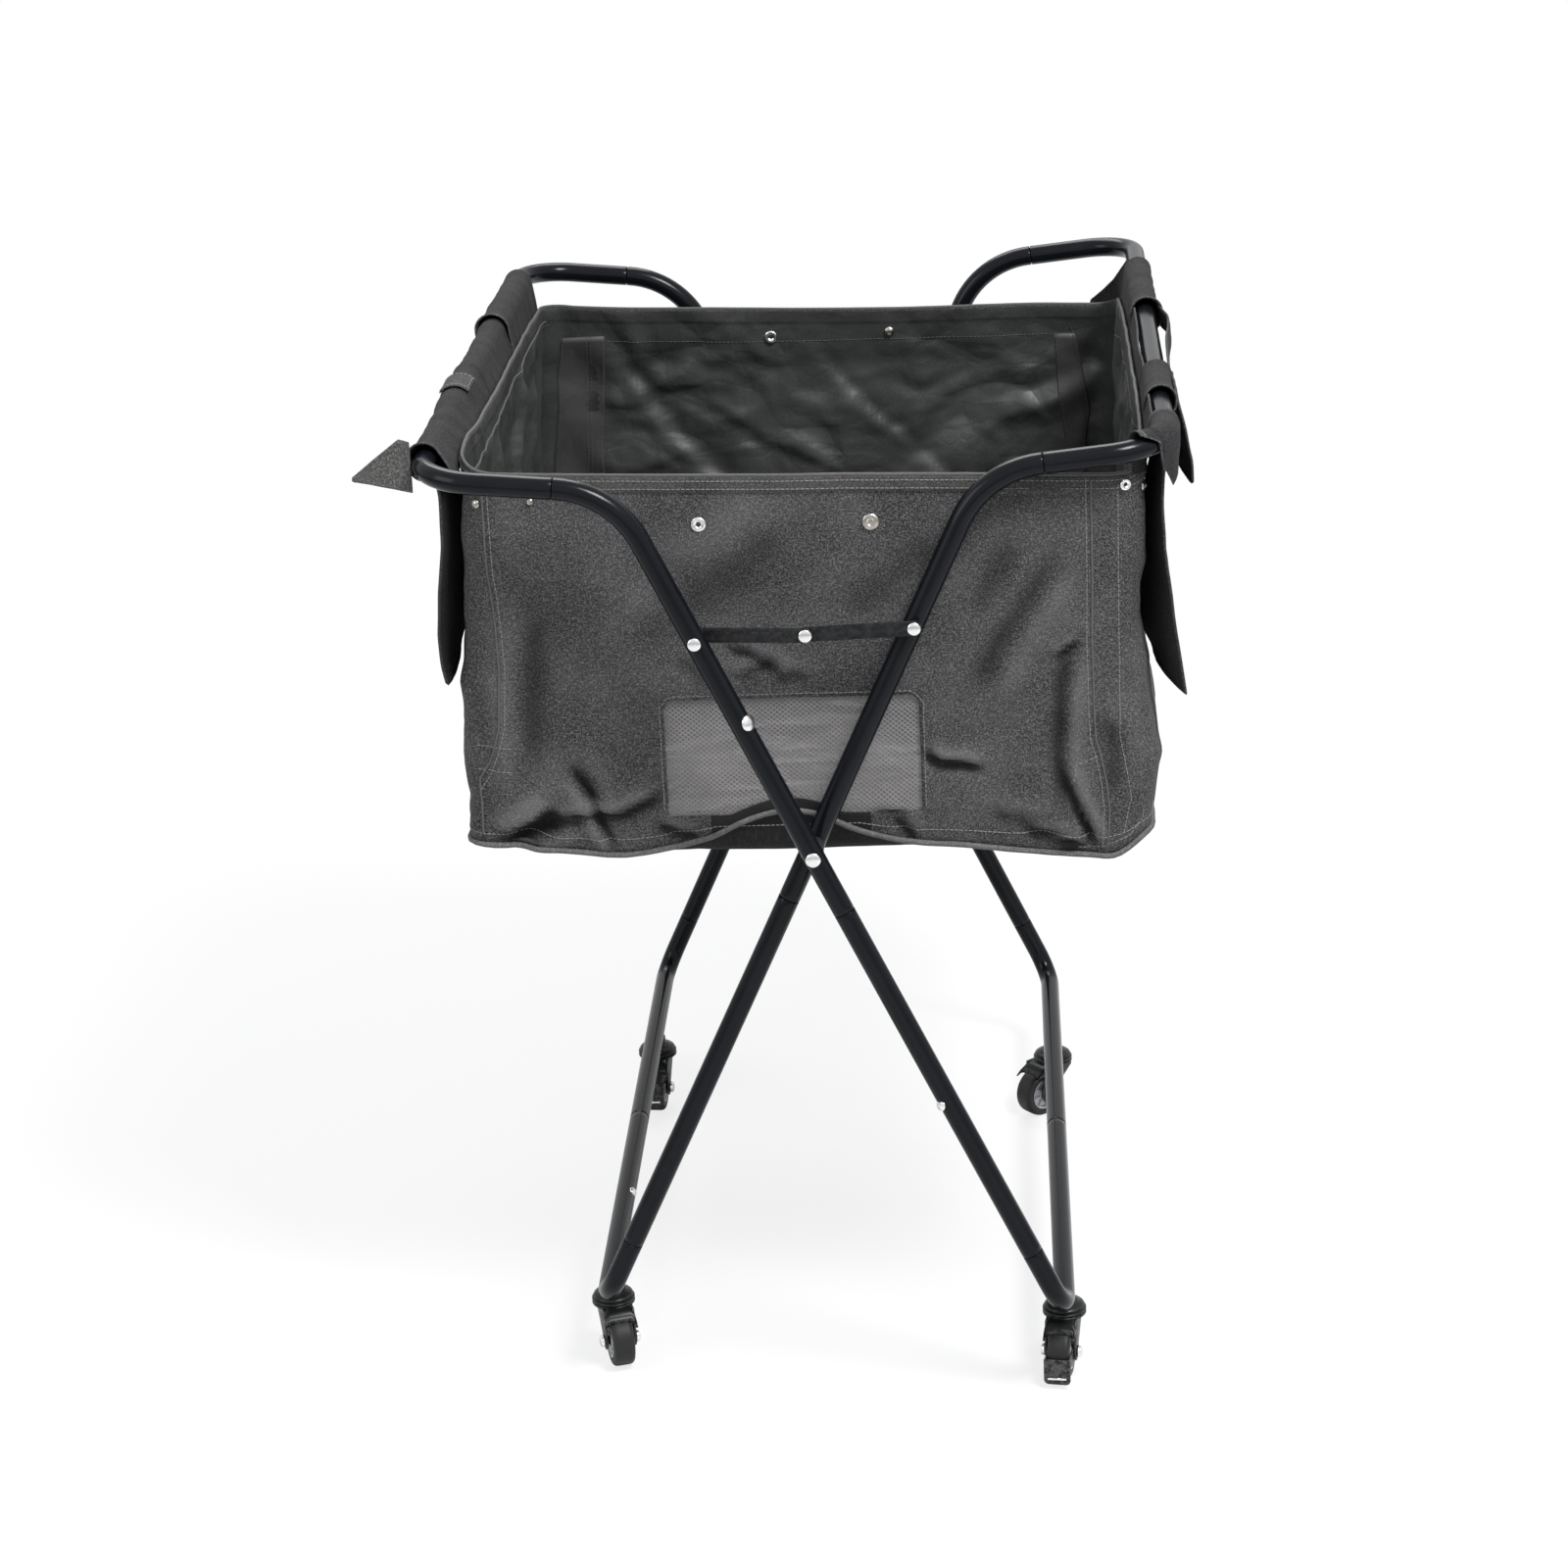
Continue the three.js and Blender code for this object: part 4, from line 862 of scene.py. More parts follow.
for casterName, (casterSpot, casterTurn, casterSteel, pedal) in casters.items():
    addMount(casterName, casterSpot, casterTurn, casterSteel)
    for addPart in (addFork, addWheel, addAxle):
        addPart(casterName, casterSpot, casterTurn)
    if pedal is not None:
        addBrake(casterName, casterSpot, casterTurn, pedal)
print("casters")


# The bag: one cloth shell, from the hem down the walls and under the floor, with the lining inside.
bag = {
    "halfX": 289,
    "halfY": 343,
    "corner": 30,
    "wall": 1.6,
    "windowLeft": -127,
    "windowRight": 94,
    "windowTop": 661,
    "windowFoot": 554,
    "windowRound": 10,
    "tuck": (-92, 45),  # where the cloth under the window turns in
    "footStrip": 11,  # of cloth between the window and the bottom edge, where that edge is high
    "hemBand": 13.5,
    "hemThick": 1.3,
    "rows": (36, 22, 5),  # above, beside and below the window
    "reach": 4.2,  # the ends may not bulge further, towards the legs and links
}
outside = bag["wall"] / 2

# Heights of the top and bottom edges, read along each wall; the front's bottom edge is arched.
topEdge = {
    "front": [
        (-289, 869), (-230, 866), (-174, 864), (-14, 859.5), (19, 859), (137, 856), (258, 852), (289, 852),
    ],
    "right": [(-343, 853), (-290, 861), (-200, 868), (4, 869), (213, 857), (300, 842), (343, 830)],
    "rear": [(-289, 846), (-215, 841), (-124, 838), (-16, 834), (67, 832), (213, 832), (289, 829)],
    "left": [(-343, 871), (-318, 878), (-195, 873), (-49, 865), (112, 860), (266, 851), (343, 845)],
}
bottomEdge = {
    "front": [
        (-289, 530), (-246, 527), (-200, 521), (-172, 518), (-130, 524), (-93, 533), (-60, 549), (-34, 557),
        (0, 555), (34, 539), (73, 527), (132, 520), (178, 514), (235, 508), (262, 507), (278, 513),
        (289, 522),
    ],
    "right": [(-343, 524), (-310, 527), (-150, 524), (0, 521), (180, 524), (343, 525)],
    "rear": [(-289, 525), (-150, 521), (0, 527), (140, 520), (289, 525)],
    "left": [(-343, 531), (-300, 527), (-120, 522), (60, 524), (343, 525)],
}
# How far each wall stands out past its hem, by height.
wallBulge = {
    "front": [(500, -6), (525, -2), (560, 1.5), (640, 1), (760, -1), (857, 0), (900, 0)],
    "right": [(500, 0), (520, 3), (540, 6), (584, 11), (644, 3), (739, -3), (809, 0), (900, 0)],
    "rear": [(500, -6), (530, 0), (600, 3), (700, 2.5), (775, 1), (800, -5), (838, -13), (900, -13)],
    "left": [
        (500, 12), (530, 17), (545, 18), (568, 15), (595, 18), (640, 17), (702, 12), (780, 6), (860, 0),
        (900, 0),
    ],
}


def read(pairs, places):
    # Straight between the pairs.
    return np.interp(places, *np.array(pairs, float).T)


def smoothLine(pairs, places):
    # A curve through the pairs without corners, at the given places.
    xs, ys = np.array(pairs, float).T
    slope = np.gradient(ys, xs)
    place = np.clip(np.asarray(places, float), xs[0], xs[-1])
    low = np.clip(np.searchsorted(xs, place) - 1, 0, len(xs) - 2)
    width = xs[low + 1] - xs[low]
    t = (place - xs[low]) / width
    start = (2 * t**3 - 3 * t**2 + 1) * ys[low] + (t**3 - 2 * t**2 + t) * width * slope[low]
    return start + (3 * t**2 - 2 * t**3) * ys[low + 1] + (t**3 - t**2) * width * slope[low + 1]


def evenly(places, step):
    # Fills the gaps between fixed places with about even steps, without the last place.
    out = []
    for low, high in zip(places, places[1:]):
        out += list(np.linspace(low, high, max(1, round(abs(high - low) / step)), endpoint=False))
    return out


def outlineColumns(hx, hy, r, left, right):
    # Points of the plan outline, anticlockwise from above, with the wall's weight in each direction.
    walls = (
        # places along a wall, their step, the way it faces, and the middle of the corner after it
        ([r - hx, left, left + 10, right - 10, right, hx - r], 4.4, (0, -1), (hx - r, r - hy)),
        ([r - hy, hy - r], 6.2, (1, 0), (hx - r, hy - r)),
        ([hx - r, r - hx], 5.2, (0, 1), (r - hx, hy - r)),
        ([hy - r, r - hy], 6.2, (-1, 0), (r - hx, r - hy)),
    )
    points = []
    for quarter, (places, step, (nx, ny), (cx, cy)) in enumerate(walls):
        for place in evenly(places, step):
            points.append((place if ny else nx * hx, place if nx else ny * hy, nx, ny))
        for angle in (pi / 2 * (quarter - 1) + pi / 2 * turn / 7 for turn in range(7)):
            points.append((cx + r * cos(angle), cy + r * sin(angle), cos(angle), sin(angle)))
    return np.array(points, float).T


columns = outlineColumns(*(bag[key] for key in ("halfX", "halfY", "corner", "windowLeft", "windowRight")))
columnX, columnY, normalX, normalY = columns
columnCount = len(columnX)
columnStep = np.hypot(np.roll(columnX, -1) - columnX, np.roll(columnY, -1) - columnY)
columnArc = np.concatenate([[0], np.cumsum(columnStep)[:-1]])
columnRound = float(np.sum(columnStep)) / 1000
# How much of each wall a column belongs to: whole on the straight, shared round a corner.
facings = {"front": -normalY, "right": normalX, "rear": normalY, "left": -normalX}
shares = {wall: np.maximum(towards, 0) ** 2 for wall, towards in facings.items()}


def wallAlong(wall, x, y):
    return x if wall in ("front", "rear") else y


def edgeHeights(edge):
    lines = {wall: smoothLine(edge[wall], wallAlong(wall, columnX, columnY)) for wall in shares}
    return sum(share * lines[wall] for wall, share in shares.items())


# Folds on each wall: how deep, how wide, the share of its depth that stands up beside it, on the
# side that its sign tells, and then the places on it, along the wall and up.
folds = {
    "front": [
        (-15.0, 8.0, 0.75, -279, 532, -261, 537, -242, 547, -222, 564),
        (-8.0, 6, -0.5, -262, 531, -238, 541, -214, 551),
        (-8.5, 5.5, 0.6, -232, 549, -207, 553, -170, 553, -142, 567, -126, 582),
        (-6.5, 4.6, -0.7, -212, 600, -193, 572, -186, 545, -172, 520),
        (-3.9, 8, 0.5, -212, 606, -198, 587, -190, 567),
        (-4.5, 13, -0.5, -232, 760, -236, 700, -242, 640, -248, 590),
        (-3.9, 7, 0.5, -288, 700, -284, 650, -279, 610, -292, 575),
        (-4.5, 5, 0.7, -75, 707, -53, 702, -33, 691, -20, 676),
        (-3.9, 5, 0.7, -64, 676, -47, 685, -30, 691),
        (-3.1, 5, 0.6, -30, 672, -14, 680, 2, 676),
        (-3.2, 7, 0.5, -118, 700, -99, 687, -84, 668),
        (-3.2, 16, 0.6, -120, 760, -70, 776, -10, 812),
        (-2.6, 15, 0.5, -160, 700, -100, 745, -30, 775),
        (-2.6, 14, -0.5, 30, 730, 80, 765, 120, 800),
        (-9.1, 4.5, 0.7, 94, 609, 110, 597, 129, 595, 150, 590),
        (-5.9, 7, 0.7, 226, 712, 216, 660, 213, 600, 216, 560, 224, 540),
        (-9.8, 4.5, 0.8, 216, 590, 228, 556, 246, 512),
        (-9.1, 4.5, 0.7, 176, 537, 202, 527, 236, 514),
        (-3.9, 6, 0.5, 150, 548, 190, 541, 215, 540),
        (-5.2, 11, 0.6, 216, 790, 191, 746, 167, 709, 151, 679, 130, 655),
        (-3.1, 12, 0.5, 180, 800, 158, 760, 140, 720),
        (-5.2, 3.5, 0.7, 211, 689, 222, 697, 234, 706),
        (-5.9, 5, 0.6, 68, 548, 78, 538, 88, 527),
        (-3.9, 4, 0.6, 50, 556, 70, 553, 88, 550),
        (-3.9, 9, 0.5, 255, 640, 262, 600, 258, 560),
        (-6.5, 5, 0.5, -140, 546, -118, 536, -100, 533),
    ],
    "right": [
        (-5.5, 14, 0.6, 262, 842, 250, 790, 226, 720, 214, 650, 222, 590),
        (-5, 12, -0.6, 92, 852, 98, 800, 84, 740, 52, 690, 44, 630),
        (-3, 12, 0.5, 60, 845, 30, 800, -10, 770),
        (-5.5, 12, 0.6, -126, 852, -118, 790, -96, 730, -92, 660),
        (-4.5, 13, 0.6, -214, 845, -196, 780, -204, 700, -190, 640),
        (-4.5, 12, 0.5, -290, 820, -276, 740, -262, 660, -280, 590),
        (-4, 12, 0.5, -262, 566, -160, 548, -50, 560),
        (-3.5, 13, 0.5, 20, 552, 140, 562, 262, 546),
        (-2.5, 14, 0.5, -40, 700, 10, 660, 20, 610),
        (-2.5, 14, 0.5, 150, 760, 120, 700, 130, 640),
    ],
    "rear": [
        (-2.6, 5.0, 0.9, -40, 815, 11, 749, 36, 717, 70, 691, 110, 650, 150, 590),
        (-4.6, 9.0, 0.9, -232, 806, -202, 754, -183, 721, -166, 696, -136, 665, -100, 600),
        (-2.8, 5.4, -0.9, -160, 765, -121, 738, -91, 718, -66, 698, -35, 684, 20, 655),
        (-1.9, 4.6, 0.6, -229, 698, -216, 704, -190, 700),
        (-2.0, 5.0, 0.8, 50, 748, 83, 735, 112, 741, 150, 760),
        (-2.0, 5.6, -0.8, 40, 719, 90, 724, 131, 739, 200, 785),
        (-2.5, 5.2, 0.7, -60, 700, -32, 692, -16, 680, 20, 640),
        (-3.1, 7.0, 0.6, 160, 700, 190, 660, 210, 610),
        (-3.1, 7.0, 0.7, -200, 650, -150, 620, -80, 610),
        (-3.7, 7.0, 0.6, -250, 560, -200, 545, -150, 530),
        (-3.7, 7.0, 0.6, 120, 560, 180, 548, 250, 535),
        (-2.5, 6.4, 0.7, -20, 620, 30, 590, 60, 550),
        (-1.9, 5.0, 0.7, 241, 802, 251, 758, 258, 719, 252, 683, 256, 600),
    ],
    "left": [
        (-5.5, 15, 0.6, 250, 838, 236, 790, 205, 720, 190, 640, 196, 580),
        (-4.5, 14, 0.6, 310, 830, 296, 760, 288, 680, 292, 600),
        (-6, 12, -0.6, 112, 850, 104, 800, 80, 740, 40, 690, 26, 620),
        (-3.5, 11, 0.5, 100, 845, 120, 780, 128, 700),
        (-5.5, 13, 0.6, -66, 855, -74, 790, -66, 700, -84, 630),
        (-4, 16, 0.6, -180, 850, -172, 770, -196, 690, -192, 620),
        (-5, 11, 0.5, -300, 700, -262, 640, -250, 590, -268, 545),
        (-3.5, 13, 0.5, -214, 572, -130, 552, -40, 556, 10, 572),
        (-4, 12, 0.5, 40, 566, 150, 546, 262, 556),
        (-2.5, 14, 0.5, -40, 760, 30, 735, 70, 745),
        (-2.5, 14, 0.5, 160, 690, 110, 650, 90, 600),
    ],
}


def foldPush(along, height, fold, crisp):
    # The push of one fold on every point: a groove with a ridge beside it, fading at both ends.
    # A crisp fold is a sharp line between two flat slopes instead.
    depth, width, ridge, *places = fold
    line = list(zip(places[::2], places[1::2]))
    best, offset, share = np.full(along.shape, 1e9), np.zeros(along.shape), np.zeros(along.shape)
    lengths = [dist(a, b) for a, b in zip(line, line[1:])]
    total, done = sum(lengths), 0.0
    for (ax, az), (bx, bz), length in zip(line, line[1:], lengths):
        ux, uz = (bx - ax) / length, (bz - az) / length
        t = np.clip((along - ax) * ux + (height - az) * uz, 0, length)
        dx, dz = along - ax - ux * t, height - az - uz * t
        distance = np.hypot(dx, dz)
        closer = distance < best
        best = np.where(closer, distance, best)
        offset = np.where(closer, np.sign(ux * dz - uz * dx) * distance, offset)
        share = np.where(closer, (done + t) / total, share)
        done += length
    fade = np.clip(np.sin(np.pi * np.clip(share, 0.02, 0.98)) * 1.6, 0, 1) ** 1.2
    groove = np.exp(-(np.hypot(best, 2.2) - 2.2) / (2.1 * width)) if crisp else np.exp(-((best / width) ** 2))
    stand = -depth * abs(ridge) * np.exp(-(((offset - copysign(1.9 * width, ridge)) / (1.3 * width)) ** 2))
    return (depth * groove + stand * np.exp(-np.maximum(best - 4 * width, 0) / width)) * fade


def noiseField(points, scale, seed):
    # Smooth noise from -1 to 1 on rows of places in millimetres.
    offset = Vector((seed * 17.3, seed * 5.1, seed * 9.7))
    basis = {"noise_basis": "PERLIN_ORIGINAL"}
    return np.array([noise.fractal(Vector(point) / scale + offset, 0.8, 2.1, 2, **basis) for point in points])


# Flat facets between sharp lines: folded waves in a few directions, bent by soft noise.
crinkles = [(150, 2.6, 52), (96, 2.2, 108), (57, 1.2, 38), (34, 0.6, 77)]  # length, depth, degrees


def crinkled(points, seed):
    total = np.zeros(len(points))
    for index, (size, depth, turn) in enumerate(crinkles):
        bend = noiseField(points, size * 1.5, seed + index)
        strength = np.clip(0.7 + 1.3 * noiseField(points, size * 2.2, seed + 20 + index), 0, 1.5)
        level = (points[:, 0] + points[:, 1]) * cos(radians(turn)) + points[:, 2] * sin(radians(turn))
        total += depth * strength * (np.abs((level / size + bend + 0.37 * index) % 1 - 0.5) * 4 - 1)
    return total


def bagRows():
    # Heights of every row at every column, and the rows of the window's top and foot.
    top, bottom = edgeHeights(topEdge), edgeHeights(bottomEdge)
    shoulder = np.full(columnCount, float(bag["windowTop"]))
    foot = np.maximum(bag["windowFoot"], bottom + bag["footStrip"])
    band = bag["hemBand"]
    rows = [top - drop for drop in (0, 0.8, 2.4, 8, band - 1.2, band, band + 1.2, band + 4)]
    start, marks = rows[-1], []
    for count, low in zip(bag["rows"], (shoulder, foot, bottom)):
        rows += [start + (low - start) * step / count for step in range(1, count + 1)]
        start = low
        marks.append(len(rows) - 1)
    return np.array(rows), *marks[:2]


rowZ, shoulderRow, footRow = bagRows()
rowCount = len(rowZ)


def bagSurface():
    # Middle positions of the walls' cloth, rows by columns, in millimetres.
    z = rowZ
    x, y, nx, ny = (np.broadcast_to(column, z.shape) for column in columns)
    flat = np.stack([x.ravel(), y.ravel(), z.ravel()], 1)
    soft, small = (noiseField(flat, scale, seed).reshape(z.shape) for scale, seed in ((105, 1), (34, 2)))
    facets = crinkled(flat, 31).reshape(z.shape)
    push, creased = np.zeros(z.shape), np.zeros(z.shape)
    for wall, share in shares.items():
        spread = np.broadcast_to(share, z.shape)
        push += spread * read(wallBulge[wall], z)
        busy, along = spread > 0.02, wallAlong(wall, x, y)
        pushed = np.zeros(z.shape)
        for fold in folds[wall]:
            pushed[busy] += foldPush(along[busy], z[busy], fold, wall == "rear")
        creased += pushed * spread
    push += creased
    rear, front = (np.broadcast_to(shares[wall], z.shape) for wall in ("rear", "front"))
    # The hem and the bottom edge are held, so the cloth between them moves most.
    held = np.clip((rowZ[0] - z) / 40, 0, 1) * np.clip((z - rowZ[-1]) / 22, 0.25, 1)
    loose = front * (1.6 * soft + 0.7 * small + 0.22 * facets) + rear * (1.6 * soft + 1.45 * facets)
    loose += (1 - rear - front) * (2.6 * soft + 0.8 * small + 0.7 * facets)
    push += held * loose
    push += (1 - held) * 0.8 * small
    push = np.where(np.maximum(front, rear) > 0.5, np.minimum(push, bag["reach"]), push)
    hem = np.clip(rowZ[0] - z, 0, 99)
    inBand, past = np.sqrt(np.clip(hem / 1.6, 0, 1)), np.clip(1 - (hem - bag["hemBand"]) / 1.0, 0, 1)
    bump = bag["hemThick"] * np.where(hem < bag["hemBand"], inBand, past)
    return x + nx * push, y + ny * push, z.copy(), bump, creased


wallX, wallY, wallZ, hemBump, wallFold = bagSurface()
print("bag: walls", rowCount, "by", columnCount)


def frontColumn(x):
    return int(np.argmin(np.where(normalY < -0.99, np.abs(columnX - x), 1e9)))


def roundWindow():
    # Points on the window's edge near an upper corner move onto its arc.
    r, top = bag["windowRound"], bag["windowTop"]
    for row in range(shoulderRow, footRow + 1):
        for c in range(leftColumn, rightColumn + 1):
            if row != shoulderRow and c not in (leftColumn, rightColumn):
                continue
            x, z = wallX[row, c], wallZ[row, c]
            for edge, sign in ((bag["windowLeft"], 1), (bag["windowRight"], -1)):
                across, down = sign * (x - edge), top - z
                if across <= r + 0.01 and down <= r + 0.01:
                    angle = pi - (r - down + across) / (2 * r) * pi / 2
                    wallX[row, c] = edge + sign * (r + r * cos(angle))
                    wallZ[row, c] = top - r + r * sin(angle)


leftColumn, rightColumn = frontColumn(bag["windowLeft"]), frontColumn(bag["windowRight"])
roundWindow()

floorEdge = [
    (-289, 527), (-246, 524), (-200, 519), (-104, 517.5), (40, 517.5), (132, 517), (178, 511), (235, 505),
    (262, 504), (289, 519),
]
floorRings = [  # how far in, the share of the drop to the floor's edge, and the share of flatness
    (2.2, 0.3, 0), (4.6, 0.75, 0), (9, 1, 0.05), (20, 1, 0.5), (40, 1, 1), (75, 1, 1), (120, 1, 1),
    (180, 1, 1), (240, 1, 1), (284, 1, 1),
]


def floorRows(x, y, z, level, lift):
    # Rows that run on from a wall's bottom row: down to the floor's edge, and in to its middle.
    plain = edgeHeights(bottomEdge) - 3
    edge = shares["front"] * read(floorEdge, columnX) + (1 - shares["front"]) * plain + lift
    rows = []
    for inset, drop, flat in floorRings:
        low = z + (np.minimum(edge, z) - z) * drop
        soft = 0.9 * np.sin(x / 61) * np.cos(y / 83)
        narrow, short = (np.clip(1 - inset / bag[half], 0.01, 1) for half in ("halfX", "halfY"))
        rows.append((x * narrow, y * short, low + (level + soft - low) * flat))
    return [np.array(values) for values in zip(*rows)]


def bagLayer(offset, level, lift):
    # One face of the cloth: the walls, then the floor.
    x, y, z = wallX + normalX * offset, wallY + normalY * offset, wallZ.copy()
    if lift:
        z[-1] += 2.4
    return [np.vstack(pair) for pair in zip((x, y, z), floorRows(x[-1], y[-1], z[-1], level, lift))]


def windowBorder():
    across, down = range(leftColumn, rightColumn + 1), range(shoulderRow + 1, footRow)
    border = [(shoulderRow, c) for c in across] + [(row, rightColumn) for row in down]
    return border + [(footRow, c) for c in across[::-1]] + [(row, leftColumn) for row in down[::-1]]


def bagShell():
    outward, inward = outside + hemBump, -outside - 0.4 * hemBump
    layers = [bagLayer(outward, 520.5, 0), bagLayer(inward, 524.5, 3.2)]
    total = len(layers[0][0])
    inner = total * columnCount
    cloth, hem, lining, floor = range(4)
    tuckLeft, tuckRight = bag["tuck"]
    faces, marks = [], []
    for row in range(total - 1):
        for column in range(columnCount):
            if shoulderRow <= row < footRow and leftColumn <= column < rightColumn:
                continue
            a, b = row * columnCount + column, row * columnCount + (column + 1) % columnCount
            c, d = b + columnCount, a + columnCount
            # The strip that turns in under the window and the underside take the dark floor cloth, painted
            # shade.
            tucked = row >= footRow and normalY[column] < -0.9 and tuckLeft < columnX[column] < tuckRight
            under = tucked or row >= rowCount - 1
            faces += [[a, d, c, b], [inner + a, inner + b, inner + c, inner + d]]
            marks += [hem if row < 5 else floor if under else cloth, hem if row < 2 else lining]
    last = [(total - 1) * columnCount + column for column in range(columnCount)]
    faces += [last[::-1], [inner + index for index in last]]
    marks += [floor, lining]
    for a in range(columnCount):
        b = (a + 1) % columnCount
        faces.append([a, b, inner + b, inner + a])
    border = windowBorder()
    for (r0, c0), (r1, c1) in zip(border, border[1:] + border[:1]):
        a, b = r0 * columnCount + c0, r1 * columnCount + c1
        faces.append([b, a, inner + a, inner + b])
    marks += [hem] * columnCount + [cloth] * len(border)
    # How far each place is down in a fold or up on its crest, from -1 to 1, on either face.
    # The cloth materials paint shade in the folds and a highlight on the crests from these values.
    folded = np.vstack([wallFold, np.zeros((total - rowCount, columnCount))])
    fold = (folded / (5.5 + 6.0 * (shares["left"] + shares["right"]))).ravel()
    vertices, uv = [], []
    for x, y, z in layers:
        vertices += [at(*point) for point in zip(x.ravel(), y.ravel(), z.ravel())]
        steps = np.hypot(np.hypot(np.diff(x, axis=0), np.diff(y, axis=0)), np.diff(z, axis=0))
        run = np.cumsum(np.vstack([np.zeros((1, columnCount)), steps]), axis=0)
        way = np.broadcast_to(columnArc, x.shape).copy()
        way[rowCount:], run[rowCount:] = x[rowCount:] + 700, y[rowCount:]
        uv += list(zip((way / 1000).ravel(), (-run / 1000).ravel()))
    return Shape().add(vertices, faces, marks), uv, np.clip(np.concatenate([fold, -fold]), -1, 1)


shellShape, *shellMaps = bagShell()
shellCloths = "bagCloth hemCloth liningCoat floorCloth"
shell = addPiece(
    "bagCloth", shellShape, shellCloths, None, "bag_fabric", "bag_shell", *shellMaps, columnRound
)
# One cut in the shape of a cross, floor and four walls, less the window; its corners are sewn.
rails = ["left_frame_top_rail", "right_frame_top_rail"]


def wallColumns(wall):
    # A wall's columns in the order of their places along it.
    mine = [c for c in range(columnCount) if facings[wall][c] > 0.6]
    if wall == "front":
        return sorted(mine, key=lambda c: wallX[20, c])
    return mine if wall == "right" else mine[::-1]


columnsOf = {wall: wallColumns(wall) for wall in shares}


def onWall(wall, along, z, lift=0.0):
    # A place on a wall's cloth in millimetres, lifted from its middle: positive is outwards.
    mine = columnsOf[wall]
    spot = float(np.interp(along, wallAlong(wall, wallX, wallY)[30, mine], np.arange(len(mine))))
    low = min(int(spot), len(mine) - 2)
    t, a, b = spot - low, mine[low], mine[low + 1]
    heights = wallZ[:, a] * (1 - t) + wallZ[:, b] * t
    row = float(np.interp(-z, -heights, np.arange(rowCount)))
    r = min(int(row), rowCount - 2)
    s = row - r
    point = np.zeros(3)
    for index, grid in enumerate((wallX, wallY, wallZ)):
        upper, lower = (grid[k, a] * (1 - t) + grid[k, b] * t for k in (r, r + 1))
        point[index] = upper * (1 - s) + lower * s
    bump = (hemBump[r, a] * (1 - s) + hemBump[r + 1, a] * s) if lift > 0 else 0
    normal = np.array([normalX[a] * (1 - t) + normalX[b] * t, normalY[a] * (1 - t) + normalY[b] * t, 0])
    normal /= np.linalg.norm(normal)
    return point + normal * (lift + bump), normal


def wallLine(wall, points, lift, step=5.0):
    # A line beside a wall's cloth through the places, with more places between them.
    dense = [points[0]]
    for a, b in zip(points, points[1:]):
        count = max(1, round(dist(a, b) / step))
        dense += [tuple(np.array(a) + (np.array(b) - np.array(a)) * i / count) for i in range(1, count + 1)]
    return [at(*onWall(wall, along, z, lift)[0]) for along, z in dense]


def besideRow(row, out, up, places):
    # Places beside one row of the walls' cloth.
    x, y, z = wallX[row] + normalX * out, wallY[row] + normalY * out, wallZ[row] + up
    return [at(x[c], y[c], z[c]) for c in places]


def addPiping(radius=2.5, sides=10):
    # Rolled piping round the bottom edge.
    route = besideRow(rowCount - 1, outside + 0.9, -0.6, range(columnCount))
    rows = []
    for before, point, after in zip(route[-1:] + route, route, route[1:] + route[:1]):
        tangent = (after - before).normalized()
        side = tangent.cross(Vector((0, 0, 1))).normalized()
        normal = side.cross(tangent)
        wobble = 1 + 0.10 * noise.noise(point * 60)
        rows += [point + (side * u + normal * v) * wobble for u, v in circle(radius / 1000, sides)]
    shape = Shape().add(rows, loftFaces(len(route), sides, closed=True), flip=True)
    uv = [(run / 1000, index * 0.0016) for run in columnArc for index in range(sides)]
    addPiece("bagBottomPiping", shape, "pipingCloth", None, "bag_fabric", False, uv, uvRound=columnRound)


addPiping()
print("bag: cloth and piping")


# Geometry Nodes trees: strands that follow lines, and stitches set along them.
def lineTree(name, **inputs):
    inputs = {"Geometry": "Geometry", **inputs, "Finish": "Material"}
    tree, start, end = newTree("GeometryNodeTree", name, inputs, "Geometry", ("Geometry",))
    return tree, start, end["Geometry"], addNode(tree, "GeometryNodeMeshToCurve", (start["Geometry"],))


def finishLines(tree, start, end, geometry):
    solid = addNode(tree, "GeometryNodeRealizeInstances", (geometry,))
    painted = addNode(tree, "GeometryNodeSetMaterial", {"Geometry": solid, "Material": start["Finish"]})
    feed(tree, painted, end)
    return tree


def strandTree():
    tree, start, end, curve = lineTree("strands", Radius=0.0005, Sides=4)
    yarn = {"Resolution": start["Sides"], "Radius": start["Radius"]}
    profile = addNode(tree, "GeometryNodeCurvePrimitiveCircle", yarn)
    swept = {"Curve": curve, "Profile Curve": profile, "Fill Caps": True}
    return finishLines(tree, start, end, addNode(tree, "GeometryNodeCurveToMesh", swept))


def stitchTree():
    inputs = {"Spacing": 0.004, "Length": 0.003, "Radius": 0.0004, "Uneven": 0.12, "Seed": 3}
    tree, start, end, curve = lineTree("stitches", **inputs)
    even = {"Curve": curve, "Length": start["Spacing"]}
    spaced = addNode(tree, "GeometryNodeResampleCurve", even, mode="LENGTH")
    thread = {"Vertices": 5, "Radius": start["Radius"], "Depth": start["Length"]}
    tangent = addNode(tree, "GeometryNodeInputTangent")
    align = addNode(tree, "FunctionNodeAlignEulerToVector", {"Vector": tangent}, axis="Z")
    least, most = (maths(tree, operation, 1.0, start["Uneven"]) for operation in ("SUBTRACT", "ADD"))
    vary = addNode(tree, "FunctionNodeRandomValue", {"Min": least, "Max": most, "Seed": start["Seed"]})
    places = {
        "Points": spaced,
        "Instance": addNode(tree, "GeometryNodeMeshCylinder", thread),
        "Rotation": align,
        "Scale": vary.outputs["Value"],
    }
    return finishLines(tree, start, end, addNode(tree, "GeometryNodeInstanceOnPoints", places))


strands, stitches = strandTree(), stitchTree()


